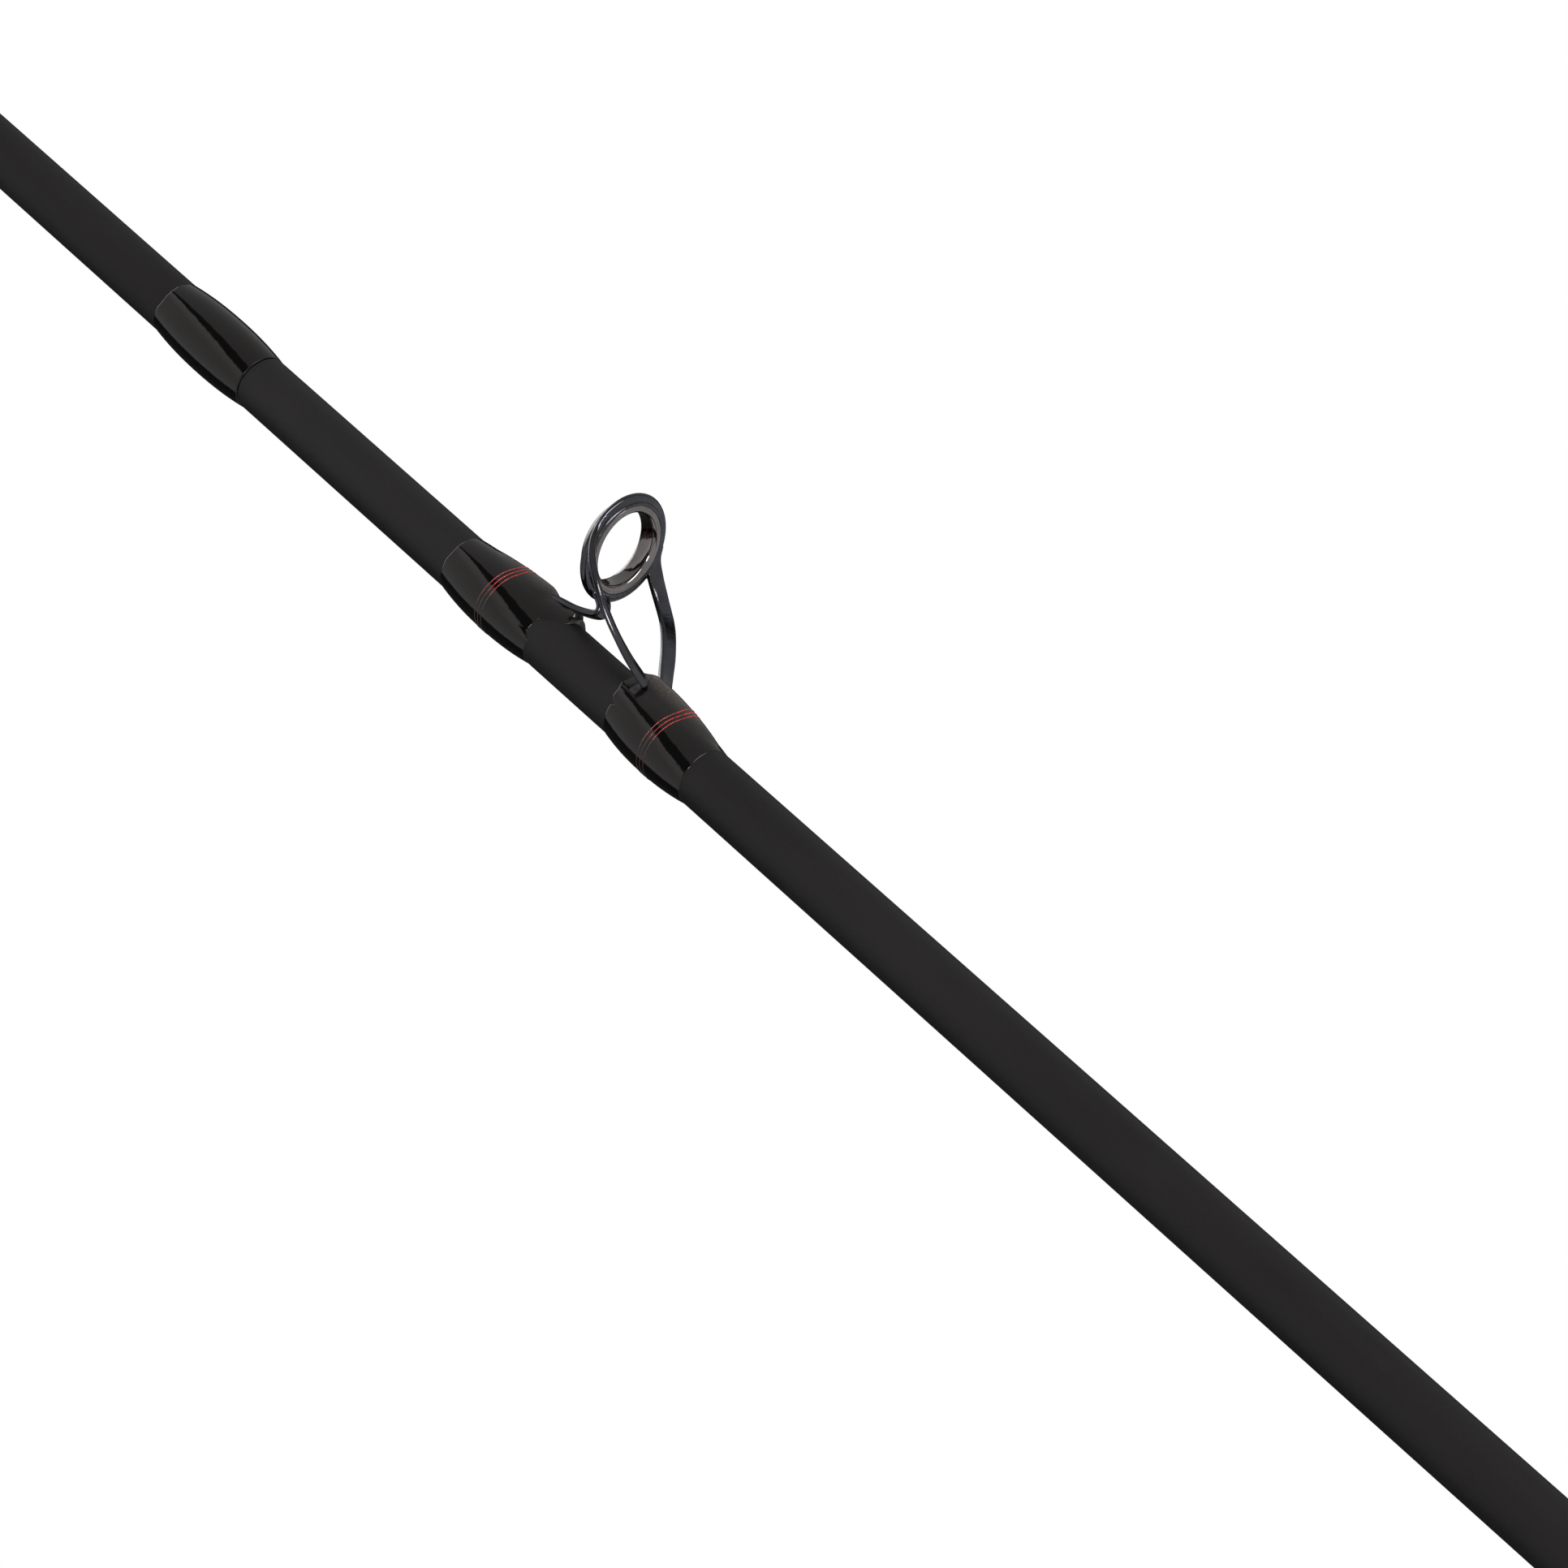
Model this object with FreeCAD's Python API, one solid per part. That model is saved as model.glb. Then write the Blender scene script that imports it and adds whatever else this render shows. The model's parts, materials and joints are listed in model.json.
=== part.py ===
import FreeCAD, Part
import math
import os

from FreeCAD import Vector

# Two-piece casting rod, 6 ft 6 in, standing on its butt cap.
# Millimetres. +Z runs from the butt to the tip, +X is the side that carries the guides and the reel.
# The origin is the centre of the butt cap's bottom face.

# ---- blank -------------------------------------------------------------------------------------
BUTT_BLANK_START = 4.0        # the blank stands on the floor of the butt cap
FERRULE_Z = 966.3             # joint line between the two sections
STRIPPER_Z = 900.0            # station of the first guide
STRIPPER_BLANK_R = 4.25       # blank radius at that station
BUTT_TAPER = 0.00206          # radius lost per millimetre along the butt section
BUTT_WALL = 1.21
SPIGOT_R = 2.9                # male ferrule glued into the butt section
SPIGOT_FIT = 0.05             # radial clearance of the tip section on the spigot
SPIGOT_ENGAGE = 65.0          # length of the spigot that enters the tip section
SPIGOT_GLUED = 60.0
TIP_BUTT_R = 4.16             # tip section radius at the joint line
TIP_KNEE_Z = 1030.0           # the tip section's taper gets steeper here
TIP_KNEE_R = 4.03
TIP_END_Z = 1970.0
TIP_END_R = 1.1
TIP_WALL = 0.75
TIP_SOLID_Z = 1750.0          # the hollow in the tip section ends here
JOINT_GAP = 0.15              # hairline between the two sections when seated

# ---- handle ------------------------------------------------------------------------------------
CAP_TOP = 24.0
CAP_R = 15.0
GRIP_R = 13.5
REAR_GRIP_TOP = 236.0
CHECK_LEN = 4.0               # each winding check ring
SEAT_BASE = 240.0
SEAT_TOP = 374.0
SEAT_R = 9.0                  # barrel, and crest of the thread
SEAT_BORE = 7.0
SEAT_FLAT_X = 8.0             # the foot platform is a flat on the +X side
THREAD_PITCH = 2.5
THREAD_START = 306.0
THREAD_END = 366.0
THREAD_DEPTH = 0.7
HOOD_LEN = 20.0
HOOD_WALL = 1.4
HOOD_FIT = 0.06               # radial clearance of hood and nut on the barrel
FIXED_HOOD_Z = 248.0
SLIDE_HOOD_Z = 326.0          # bottom of the sliding hood when the seat is open
NUT_GAP = 0.15
NUT_LEN = 12.0
NUT_R = 12.2
FOREGRIP_TOP = 440.0
KEEPER_Z = 468.0

# ---- guides ------------------------------------------------------------------------------------
# The reference guide is a size 16. Its own coordinates have their origin on the blank's axis.
REF_SIZE = 16.0
RING_HEIGHT = 16.14           # centre of the ring above the axis
RING_LEAN = 10.2              # degrees, top of the ring towards the tip
RING_BORE_R = 5.6
RING_HALF_LEN = 1.4
SEAT_RING_R = 6.6             # where the insert meets the frame
FRAME_RING_R = 8.0
FRAME_RING_SHIFT = -0.46      # the frame ring sits towards the butt on the insert
LEG_WIDTH = 2.0
LEG_THICK = 0.9
TAB_WIDTH = 2.6
TAB_THICK = 1.0
LEG_PATH = ((15.2, 7.3, -1.0), (13.0, 9.0, -4.2), (10.8, 8.85, -7.9), (8.4, 7.35, -11.7),
            (6.2, 4.9, -15.0), (4.8, 1.7, -17.8), (4.5, 0.9, -19.4))
TAB_PATH = ((9.4, -2.0), (8.6, -3.5), (7.7, -4.1), (7.0, -3.7), (6.35, -2.4), (5.7, -0.4),
            (5.25, 1.8), (4.8, 4.0), (4.4, 6.2))
FRONT_FOOT_START = 3.0
FRONT_FOOT_LEN = 13.8
REAR_FOOT_START = -17.0
REAR_FOOT_LEN = 15.4
COAT_OVERHANG = 2.0           # epoxy past the end of the foot
ROOT_CLEAR = 3.3              # the wraps start this far along the foot
COAT_BULGE = 0.76             # epoxy and thread over the bare blank
THREAD_THICK = 0.12
COAT_THIN = 0.05              # epoxy at its very edge
FERRULE_COAT_BULGE = 0.65
FERRULE_WRAP_LEN = 19.9
FOOT_R = 1.7                  # the feet are half round
FOOT_THICK = 0.95             # at the root
FOOT_TIP = 0.12
TRIM_WIDTH = 0.3
TRIM_PITCH = 0.7
FRONT_TRIM = 9.75             # middle of the three trim bands, from the first guide's station
REAR_TRIM = -26.4
TIP_GUIDES = ((1085.0, 12), (1253.0, 10), (1405.0, 8), (1543.0, 8), (1667.0, 7), (1779.0, 6), (1882.0, 6))
TIP_TOP_SIZE = 7
TIP_TOP_TUBE_Z = 1956.0
TIP_TOP_TUBE_LEN = 15.0
TIP_TOP_TUBE_WALL = 0.45
TIP_TOP_RING_Z = 19.4         # ring's station above the tube's lower end
TIP_TOP_RING_BASE = -0.9      # stands in for the blank's radius in the ring's height
TIP_TOP_BRACE_R = 0.42

AXIS = Vector(0, 0, 1)
ORIGIN = Vector(0, 0, 0)

os.makedirs("parts", exist_ok=True)
nodes = {}


# ---- helpers -----------------------------------------------------------------------------------
def lathe(points):
    """Solid of revolution about Z through (radius, z) corners."""
    corners = [Vector(r, 0, z) for r, z in points]
    face = Part.Face(Part.makePolygon(corners + corners[:1]))
    return face.revolve(ORIGIN, AXIS, 360)


def lathe_curved(outer, inner_r):
    """Solid of revolution with a smooth outer line through (radius, z) points and a plain bore."""
    curve = Part.BSplineCurve()
    curve.interpolate([Vector(r, 0, z) for r, z in outer])
    first = Vector(outer[0][0], 0, outer[0][1])
    last = Vector(outer[-1][0], 0, outer[-1][1])
    inner_last = Vector(inner_r, 0, last.z)
    inner_first = Vector(inner_r, 0, first.z)
    edges = [curve.toShape(), Part.makeLine(last, inner_last), Part.makeLine(inner_last, inner_first),
             Part.makeLine(inner_first, first)]
    return Part.Face(Part.Wire(edges)).revolve(ORIGIN, AXIS, 360)


def cylinder(radius, bottom, top):
    return Part.makeCylinder(radius, top - bottom, Vector(0, 0, bottom))


def hull_wire(big_r, small_r, distance, z):
    """Belt line round a circle on the axis and a smaller one at +X, both at height z."""
    lean = math.acos((big_r - small_r) / distance)
    cos_a = math.cos(lean)
    sin_a = math.sin(lean)
    big_up = Vector(big_r * cos_a, big_r * sin_a, z)
    big_down = Vector(big_r * cos_a, -big_r * sin_a, z)
    small_up = Vector(distance + small_r * cos_a, small_r * sin_a, z)
    small_down = Vector(distance + small_r * cos_a, -small_r * sin_a, z)
    edges = [Part.Arc(big_up, Vector(-big_r, 0, z), big_down).toShape(),
             Part.makeLine(big_down, small_down),
             Part.Arc(small_down, Vector(distance + small_r, 0, z), small_up).toShape(),
             Part.makeLine(small_up, big_up)]
    return Part.Wire(edges)


def box_wire(centre, side, up, width, height):
    """Rectangle about a centre, width along side and height along up."""
    half_side = side * (width / 2)
    half_up = up * (height / 2)
    corners = [centre - half_side - half_up, centre + half_side - half_up,
               centre + half_side + half_up, centre - half_side + half_up]
    return Part.makePolygon(corners + corners[:1])


def spline_points(points, count):
    """Evenly spread points and unit tangents on a smooth curve through the given points."""
    curve = Part.BSplineCurve()
    curve.interpolate(points)
    span = curve.LastParameter - curve.FirstParameter
    result = []
    for i in range(count):
        t = curve.FirstParameter + span * i / (count - 1)
        tangent = Vector(*curve.tangent(t)[0])
        result.append((curve.value(t), tangent.normalize()))
    return result


def save(name, shape):
    nodes[name] = shape
    shape.exportStep("parts/" + name + ".step")


# ---- blank -------------------------------------------------------------------------------------
def butt_radius(z):
    return STRIPPER_BLANK_R + BUTT_TAPER * (STRIPPER_Z - z)


def tip_radius(z):
    if z <= TIP_KNEE_Z:
        share = (z - FERRULE_Z) / (TIP_KNEE_Z - FERRULE_Z)
        return TIP_BUTT_R + (TIP_KNEE_R - TIP_BUTT_R) * share
    share = (z - TIP_KNEE_Z) / (TIP_END_Z - TIP_KNEE_Z)
    return TIP_KNEE_R + (TIP_END_R - TIP_KNEE_R) * share


def butt_core():
    """Outside of the butt section as a full cone, for shaping what sits on it."""
    return lathe([(0, BUTT_BLANK_START), (butt_radius(BUTT_BLANK_START), BUTT_BLANK_START),
                  (butt_radius(FERRULE_Z), FERRULE_Z), (0, FERRULE_Z)])


def tip_core():
    start = FERRULE_Z + JOINT_GAP
    return lathe([(0, start), (tip_radius(start), start), (TIP_KNEE_R, TIP_KNEE_Z),
                  (TIP_END_R, TIP_END_Z), (0, TIP_END_Z)])


BUTT_CORE = butt_core()
TIP_CORE = tip_core()


def build_blanks():
    glued_z = FERRULE_Z - SPIGOT_GLUED
    past = 1.0
    inside = lathe([(0, BUTT_BLANK_START - past), (butt_radius(0) - BUTT_WALL, BUTT_BLANK_START - past),
                    (SPIGOT_R, glued_z), (SPIGOT_R, FERRULE_Z + past), (0, FERRULE_Z + past)])
    save("butt_blank", BUTT_CORE.cut(inside))

    spigot_top = FERRULE_Z + SPIGOT_ENGAGE
    chamfer = 0.6
    bore = 1.6
    save("ferrule_spigot", lathe([(bore, glued_z), (SPIGOT_R, glued_z), (SPIGOT_R, spigot_top - chamfer),
                                  (SPIGOT_R - chamfer, spigot_top), (bore, spigot_top)]))

    socket_r = SPIGOT_R + SPIGOT_FIT
    socket_end = spigot_top + 8
    hollow_end_r = tip_radius(TIP_SOLID_Z) - TIP_WALL
    inside = lathe([(0, FERRULE_Z - past), (socket_r, FERRULE_Z - past), (socket_r, socket_end),
                    (hollow_end_r, TIP_SOLID_Z), (0, TIP_SOLID_Z)])
    save("tip_blank", TIP_CORE.cut(inside))


# ---- handle ------------------------------------------------------------------------------------
def build_grips():
    rim = 3.5
    cap = lathe([(0, 0), (CAP_R - rim, 0), (CAP_R - 1.0, 1.0), (CAP_R, rim), (CAP_R, CAP_TOP - 3),
                 (CAP_R - 1.0, CAP_TOP), (0, CAP_TOP)])
    socket = cylinder(butt_radius(BUTT_BLANK_START), BUTT_BLANK_START, CAP_TOP + 1)
    save("butt_cap", cap.cut(socket))

    swell_r = 14.4
    swell_z = 36.0
    grip_low = 66.0
    grip_high = 176.0
    neck_r = 12.6
    neck_z = 228.0
    front_r = 12.0
    grip = lathe([(0, CAP_TOP), (CAP_R - 1.0, CAP_TOP), (swell_r, swell_z), (GRIP_R, grip_low),
                  (GRIP_R, grip_high), (neck_r, neck_z), (front_r, REAR_GRIP_TOP), (0, REAR_GRIP_TOP)])
    save("rear_grip", grip.cut(BUTT_CORE))

    top = SEAT_BASE
    check = lathe_curved([(front_r, top - CHECK_LEN), (front_r + 0.5, top - CHECK_LEN / 2), (front_r, top)], 1)
    save("rear_check", check.cut(BUTT_CORE))

    start_r = 10.6
    end_r = 7.4
    foregrip = lathe_curved([(start_r, SEAT_TOP), (start_r + 1.3, SEAT_TOP + 10), (start_r + 0.9, SEAT_TOP + 30),
                             (end_r + 1.6, FOREGRIP_TOP - 14), (end_r, FOREGRIP_TOP)], 1)
    save("foregrip", foregrip.cut(BUTT_CORE))

    top = FOREGRIP_TOP + CHECK_LEN
    tail_r = butt_radius(top) + 0.6
    check = lathe_curved([(end_r, FOREGRIP_TOP), (end_r + 0.1, FOREGRIP_TOP + 1.4),
                          (tail_r + 0.5, top - 0.8), (tail_r, top)], 1)
    save("fore_check", check.cut(BUTT_CORE))


def seat_trigger():
    """Finger hook on the -X side, leaning towards the butt."""
    outline = [Vector(-6.0, 0, 311), Vector(-12.0, 0, 304), Vector(-18.0, 0, 296.5), Vector(-25.0, 0, 289.5),
               Vector(-27.6, 0, 285.0), Vector(-25.4, 0, 281.4), Vector(-20.5, 0, 283.2),
               Vector(-14.5, 0, 285.4), Vector(-10.5, 0, 280.5), Vector(-6.0, 0, 270)]
    curve = Part.BSplineCurve()
    curve.interpolate(outline)
    closing = Part.makeLine(outline[-1], outline[0])
    face = Part.Face(Part.Wire([curve.toShape(), closing]))
    half_width = 5.0
    edge_round = 1.2
    long_edge = 40.0
    slab = face.extrude(Vector(0, 2 * half_width, 0))
    slab.translate(Vector(0, -half_width, 0))
    rounded = [edge for edge in slab.Edges if edge.BoundBox.YLength < 0.01 and edge.Length > long_edge]
    return slab.makeFillet(edge_round, rounded)


def build_seat():
    flange_r = 11.8
    collar_r = 10.6
    profile = [(SEAT_BORE, SEAT_BASE), (flange_r - 0.6, SEAT_BASE), (flange_r, SEAT_BASE + 1),
               (flange_r - 0.2, FIXED_HOOD_Z - 1), (flange_r - 1, FIXED_HOOD_Z),
               (SEAT_R, FIXED_HOOD_Z), (SEAT_R, THREAD_START)]
    turns = int((THREAD_END - THREAD_START) / THREAD_PITCH)
    for i in range(turns):
        z = THREAD_START + i * THREAD_PITCH
        profile += [(SEAT_R - THREAD_DEPTH, z + 0.5), (SEAT_R - THREAD_DEPTH, z + 1.1),
                    (SEAT_R, z + 1.6), (SEAT_R, z + THREAD_PITCH)]
    profile += [(SEAT_R, THREAD_END + 1.5), (collar_r, THREAD_END + 2.5), (collar_r, SEAT_TOP),
                (SEAT_BORE, SEAT_TOP)]
    body = lathe(profile)
    flat_bottom = FIXED_HOOD_Z + 2
    flat = Part.makeBox(20, 40, THREAD_END + 1 - flat_bottom, Vector(SEAT_FLAT_X, -20, flat_bottom))
    body = body.cut(flat)
    trigger = seat_trigger().cut(cylinder(SEAT_BORE + 0.5, SEAT_BASE, SEAT_TOP))
    save("reel_seat_body", body.fuse(trigger).removeSplitter())

    arbor_len = 10.0
    arbors = []
    for z in (SEAT_BASE + 8, (SEAT_BASE + SEAT_TOP) / 2 - arbor_len / 2, SEAT_TOP - 8 - arbor_len):
        arbors.append(cylinder(SEAT_BORE, z, z + arbor_len).cut(BUTT_CORE))
    save("seat_arbors", Part.makeCompound(arbors))


def hood(bottom, top, inner_r, open_at_top):
    """Sleeve on the barrel with a domed pocket that takes one end of the reel foot."""
    dome_r = 7.4
    dome_x = 7.6
    length = top - bottom
    shell = Part.Face(hull_wire(inner_r + HOOD_WALL, dome_r, dome_x, bottom)).extrude(AXIS * length)
    end_wall = 1.6
    pocket_z = bottom + end_wall if open_at_top else bottom - 1
    pocket = Part.Face(hull_wire(inner_r, dome_r - HOOD_WALL, dome_x, pocket_z))
    pocket = pocket.extrude(AXIS * (length - end_wall + 1))
    return shell.cut(pocket).cut(cylinder(inner_r, bottom - 1, top + 1))


def build_hoods():
    save("fixed_hood", hood(FIXED_HOOD_Z, FIXED_HOOD_Z + HOOD_LEN, SEAT_R, True))

    # The neck of the sliding hood snaps into a groove in the nut, so the nut carries it both ways.
    top = SLIDE_HOOD_Z + HOOD_LEN
    inner_r = SEAT_R + HOOD_FIT
    neck_r = 10.0
    bead_r = 10.5
    neck = lathe([(inner_r, top - 1), (neck_r, top - 1), (neck_r, top + 1.9), (bead_r, top + 2.2),
                  (bead_r, top + 2.9), (neck_r, top + 3.2), (inner_r, top + 3.2)])
    save("sliding_hood", hood(SLIDE_HOOD_Z, top, inner_r, False).fuse(neck).removeSplitter())

    bottom = top + NUT_GAP
    lip_r = neck_r + 0.1
    groove_r = bead_r + 0.1
    nut = lathe([(lip_r, bottom), (NUT_R - 0.6, bottom), (NUT_R, bottom + 0.8), (NUT_R, bottom + NUT_LEN - 2),
                 (NUT_R - 1.4, bottom + NUT_LEN), (inner_r, bottom + NUT_LEN), (inner_r, bottom + 3.4),
                 (groove_r, bottom + 3.4), (groove_r, bottom + 1.8), (lip_r, bottom + 1.5)])
    flutes = 20
    flute_r = 1.0
    flute_centre_r = NUT_R + 0.5
    for i in range(flutes):
        angle = 2 * math.pi * i / flutes
        at = Vector(flute_centre_r * math.cos(angle), flute_centre_r * math.sin(angle), bottom + 2)
        nut = nut.cut(Part.makeCylinder(flute_r, NUT_LEN, at))
    save("lock_nut", nut)


def build_keeper():
    """Wire loop for parking the hook, whipped to the blank by its two feet."""
    wire_r = 0.6
    half_gap = 3.4
    riser = 2.6
    bend = 1.2
    foot = 8.0
    corner = half_gap + bend
    surface = butt_radius(KEEPER_Z - corner - foot) + wire_r
    diagonal = bend * (1 - math.sqrt(0.5))

    def point(lift, z):
        return Vector(surface + lift, 0, KEEPER_Z + z)

    start = point(0, -corner - foot)
    edges = [Part.makeLine(start, point(0, -corner)),
             Part.Arc(point(0, -corner), point(diagonal, -half_gap - diagonal), point(bend, -half_gap)).toShape(),
             Part.makeLine(point(bend, -half_gap), point(riser, -half_gap)),
             Part.Arc(point(riser, -half_gap), point(riser + half_gap, 0), point(riser, half_gap)).toShape(),
             Part.makeLine(point(riser, half_gap), point(bend, half_gap)),
             Part.Arc(point(bend, half_gap), point(diagonal, half_gap + diagonal), point(0, corner)).toShape(),
             Part.makeLine(point(0, corner), point(0, corner + foot))]
    section = Part.Wire([Part.makeCircle(wire_r, start, AXIS)])
    wire = Part.Wire(edges).makePipeShell([section], True, True)
    save("hook_keeper", wire)

    threads = []
    coats = []
    for side in (-1, 1):
        near = KEEPER_Z + side * (corner + 0.4)
        far = KEEPER_Z + side * (corner + foot + 1.5)
        low_z = min(near, far)
        high_z = max(near, far)
        thread, coat = wrap_pair(low_z, high_z, butt_radius, BUTT_CORE, 0.7, wire_r + 0.1,
                                 lambda z: surface + wire_r + 0.1 - butt_radius(z), wire)
        threads.append(thread)
        coats.append(coat)
    save("keeper_wrap", Part.makeCompound(threads))
    save("keeper_coat", Part.makeCompound(coats))


# ---- wraps -------------------------------------------------------------------------------------
def bulge(z, low, high, height):
    """Epoxy thickness at z: full in the middle, running out to nothing at both ends."""
    across = abs(2 * (z - low) / (high - low) - 1)
    return height * (1 - min(1.0, across) ** 2.2)


def wrap_pair(low, high, radius, core, bulge_height, foot_r=1.0, foot_top=None, metal=None):
    """Thread and epoxy coat from low to high over a blank and the half-round foot of a guide.

    foot_top gives the foot's height over the blank at z, and metal is the foot itself.
    """
    hairline = 0.03

    def section(z, cover):
        lift = max(hairline, foot_top(z)) if foot_top else hairline
        return hull_wire(radius(z) + cover, foot_r + cover, radius(z) + lift - foot_r, z)

    def loft(start, end, cover):
        steps = 12
        stations = [start + (end - start) * i / (steps - 1) for i in range(steps)]
        return Part.makeLoft([section(z, cover(z)) for z in stations], True, True)

    inset = 0.7
    thread_body = loft(low + inset, high - inset, lambda z: THREAD_THICK)
    coat_body = loft(low, high, lambda z: COAT_THIN + bulge(z, low, high, bulge_height - COAT_THIN))
    thread = thread_body.cut(core)
    coat = coat_body.cut(core).cut(thread_body)
    if metal is not None:
        thread = thread.cut(metal)
        coat = coat.cut(metal)
    return largest_solid(thread), largest_solid(coat)


def largest_solid(shape):
    return max(shape.Solids, key=lambda solid: solid.Volume)


def build_ferrule_wrap():
    low = FERRULE_Z + JOINT_GAP
    high = FERRULE_Z + FERRULE_WRAP_LEN
    thread, coat = wrap_pair(low, high, tip_radius, TIP_CORE, FERRULE_COAT_BULGE)
    save("ferrule_wrap", thread)
    save("ferrule_coat", coat)


# ---- guides ------------------------------------------------------------------------------------
class Guide:
    """One double-foot guide, scaled from the size 16 and set on the blank at a station."""

    def __init__(self, station, size, radius, core):
        self.z = station
        self.k = size / REF_SIZE
        self.radius = radius
        self.core = core
        self.foot_k = self.k ** 0.6
        self.coat_k = self.k ** 0.5
        front_root = station + FRONT_FOOT_START * self.k
        rear_root = station + REAR_FOOT_START * self.k
        self.front_foot = (front_root, front_root + FRONT_FOOT_LEN * self.foot_k)
        self.rear_foot = (rear_root, rear_root - REAR_FOOT_LEN * self.foot_k)

    def at(self, x, y, z):
        """Global place of a point of the reference guide."""
        return Vector(self.radius(self.z) + (x - STRIPPER_BLANK_R) * self.k, y * self.k, self.z + z * self.k)

    def ring_frame(self):
        lean = math.radians(RING_LEAN)
        centre = self.at(RING_HEIGHT, 0, 0)
        axis = Vector(-math.sin(lean), 0, math.cos(lean))
        return centre, axis

    def ring_lathe(self, points):
        """Revolve (radius, height) corners of the reference ring about the ring's own axis."""
        centre, axis = self.ring_frame()
        body = lathe([(r * self.k, s * self.k) for r, s in points])
        turn = FreeCAD.Rotation(AXIS, axis)
        body.Placement = FreeCAD.Placement(centre, turn)
        return body

    def insert(self):
        half = RING_HALF_LEN
        bore = RING_BORE_R
        return self.ring_lathe([(bore, -0.8), (bore, 0.8), (bore + 0.1, half - 0.25), (bore + 0.35, half),
                                (bore + 0.7, half), (SEAT_RING_R, 0.95), (SEAT_RING_R, -0.95),
                                (bore + 0.7, -half), (bore + 0.35, -half), (bore + 0.1, 0.25 - half)])

    def leg(self, side):
        points = [self.at(x, y * side, z) for x, y, z in LEG_PATH]
        across = Vector(0, 0.8 * side, -0.6)
        flat = Vector(0, side, 0)
        sections = []
        stations = spline_points(points, 9)
        last = len(stations) - 1
        for i, (place, tangent) in enumerate(stations):
            settle = max(0.0, i / last - 0.7) / 0.3
            side_dir = across * (1 - settle) + flat * settle
            side_dir = (side_dir - tangent * side_dir.dot(tangent)).normalize()
            normal = tangent.cross(side_dir)
            flare = 1 + 0.7 * max(0.0, 0.25 - i / last) / 0.25
            sections.append(box_wire(place, side_dir, normal, LEG_WIDTH * self.k * flare, LEG_THICK * self.k))
        return Part.makeLoft(sections, True, False)

    def tab(self):
        points = [self.at(x, 0, z) for x, z in TAB_PATH]
        stations = spline_points(points, 15)
        side_dir = Vector(0, 1, 0)
        sections = []
        for i, (place, tangent) in enumerate(stations):
            normal = tangent.cross(side_dir)
            flare = 1 + 0.8 * max(0.0, 0.2 - i / 14) / 0.2 - 0.5 * max(0.0, i / 14 - 0.7) / 0.3
            sections.append(box_wire(place, side_dir, normal, TAB_WIDTH * self.k * flare, TAB_THICK * self.k))
        return Part.makeLoft(sections, True, False)

    def foot_top(self, z, root, tip):
        """Height of a foot over the blank at z, running out from its root to its tip."""
        share = min(1.0, max(0.0, (z - root) / (tip - root)))
        if (z - tip) * (tip - root) > 0:
            return 0.0
        return FOOT_THICK * self.k * (1 - share) + FOOT_TIP * share

    def foot(self, root, tip):
        """Half-round foot on the blank, from its root to its thin end."""
        foot_r = FOOT_R * self.k
        steps = 6
        sections = []
        for i in range(steps):
            z = root + (tip - root) * i / (steps - 1)
            centre = self.radius(z) + self.foot_top(z, root, tip) - foot_r
            sections.append(Part.Wire([Part.makeCircle(foot_r, Vector(centre, 0, z), AXIS)]))
        return Part.makeLoft(sections, True, True).cut(self.core)

    def frame(self):
        shift = FRAME_RING_SHIFT
        rim_r = FRAME_RING_R
        rim = 0.55
        rim_c = rim_r - rim
        ring = self.ring_lathe([(SEAT_RING_R, shift - 0.8), (SEAT_RING_R + 0.25, shift - 0.8),
                                (rim_c, shift - rim), (rim_c + 0.4 * rim, shift - 0.9 * rim),
                                (rim_r - 0.1 * rim, shift - 0.45 * rim), (rim_r, shift),
                                (rim_r - 0.1 * rim, shift + 0.45 * rim), (rim_c + 0.4 * rim, shift + 0.9 * rim),
                                (rim_c, shift + rim), (SEAT_RING_R, shift + 0.9)])
        hole = self.ring_lathe([(0, -4), (SEAT_RING_R, -4), (SEAT_RING_R, 4), (0, 4)])
        feet = [self.foot(*self.front_foot), self.foot(*self.rear_foot)]
        body = ring.fuse([self.leg(-1), self.leg(1), self.tab()] + feet)
        return body.cut(hole).cut(self.core)

    def wraps(self, frame):
        """Thread and coat of the front foot, then of the rear foot, clear of the frame's root bends."""
        clear = ROOT_CLEAR * self.k
        overhang = COAT_OVERHANG * self.foot_k
        result = []
        for root, tip in (self.front_foot, self.rear_foot):
            away = 1 if tip > root else -1
            ends = sorted((root + away * clear, tip + away * overhang))
            result.append(wrap_pair(ends[0], ends[1], self.radius, self.core, COAT_BULGE * self.coat_k,
                                    FOOT_R * self.k, lambda z: self.foot_top(z, root, tip), frame))
        return result


def trim_bands(thread, centre_z):
    """Split three narrow coloured bands out of a thread sleeve: returns what is left, and the bands."""
    bands = []
    reach = 12.0
    for i in (-1, 0, 1):
        low = centre_z + i * TRIM_PITCH - TRIM_WIDTH / 2
        slab = Part.makeBox(2 * reach, 2 * reach, TRIM_WIDTH, Vector(-reach, -reach, low))
        bands.append(thread.common(slab))
        thread = thread.cut(slab)
    return thread, Part.makeCompound([band for piece in bands for band in piece.Solids])


def build_stripper():
    guide = Guide(STRIPPER_Z, REF_SIZE, butt_radius, BUTT_CORE)
    frame = guide.frame()
    save("guide_1_frame", frame)
    save("guide_1_ring", guide.insert())
    front, rear = guide.wraps(frame)
    for name, (thread, coat), trim_z in (("front", front, FRONT_TRIM), ("rear", rear, REAR_TRIM)):
        plain, bands = trim_bands(thread, STRIPPER_Z + trim_z)
        save("guide_1_" + name + "_thread", plain)
        save("guide_1_" + name + "_trim", bands)
        save("guide_1_" + name + "_coat", coat)


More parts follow.
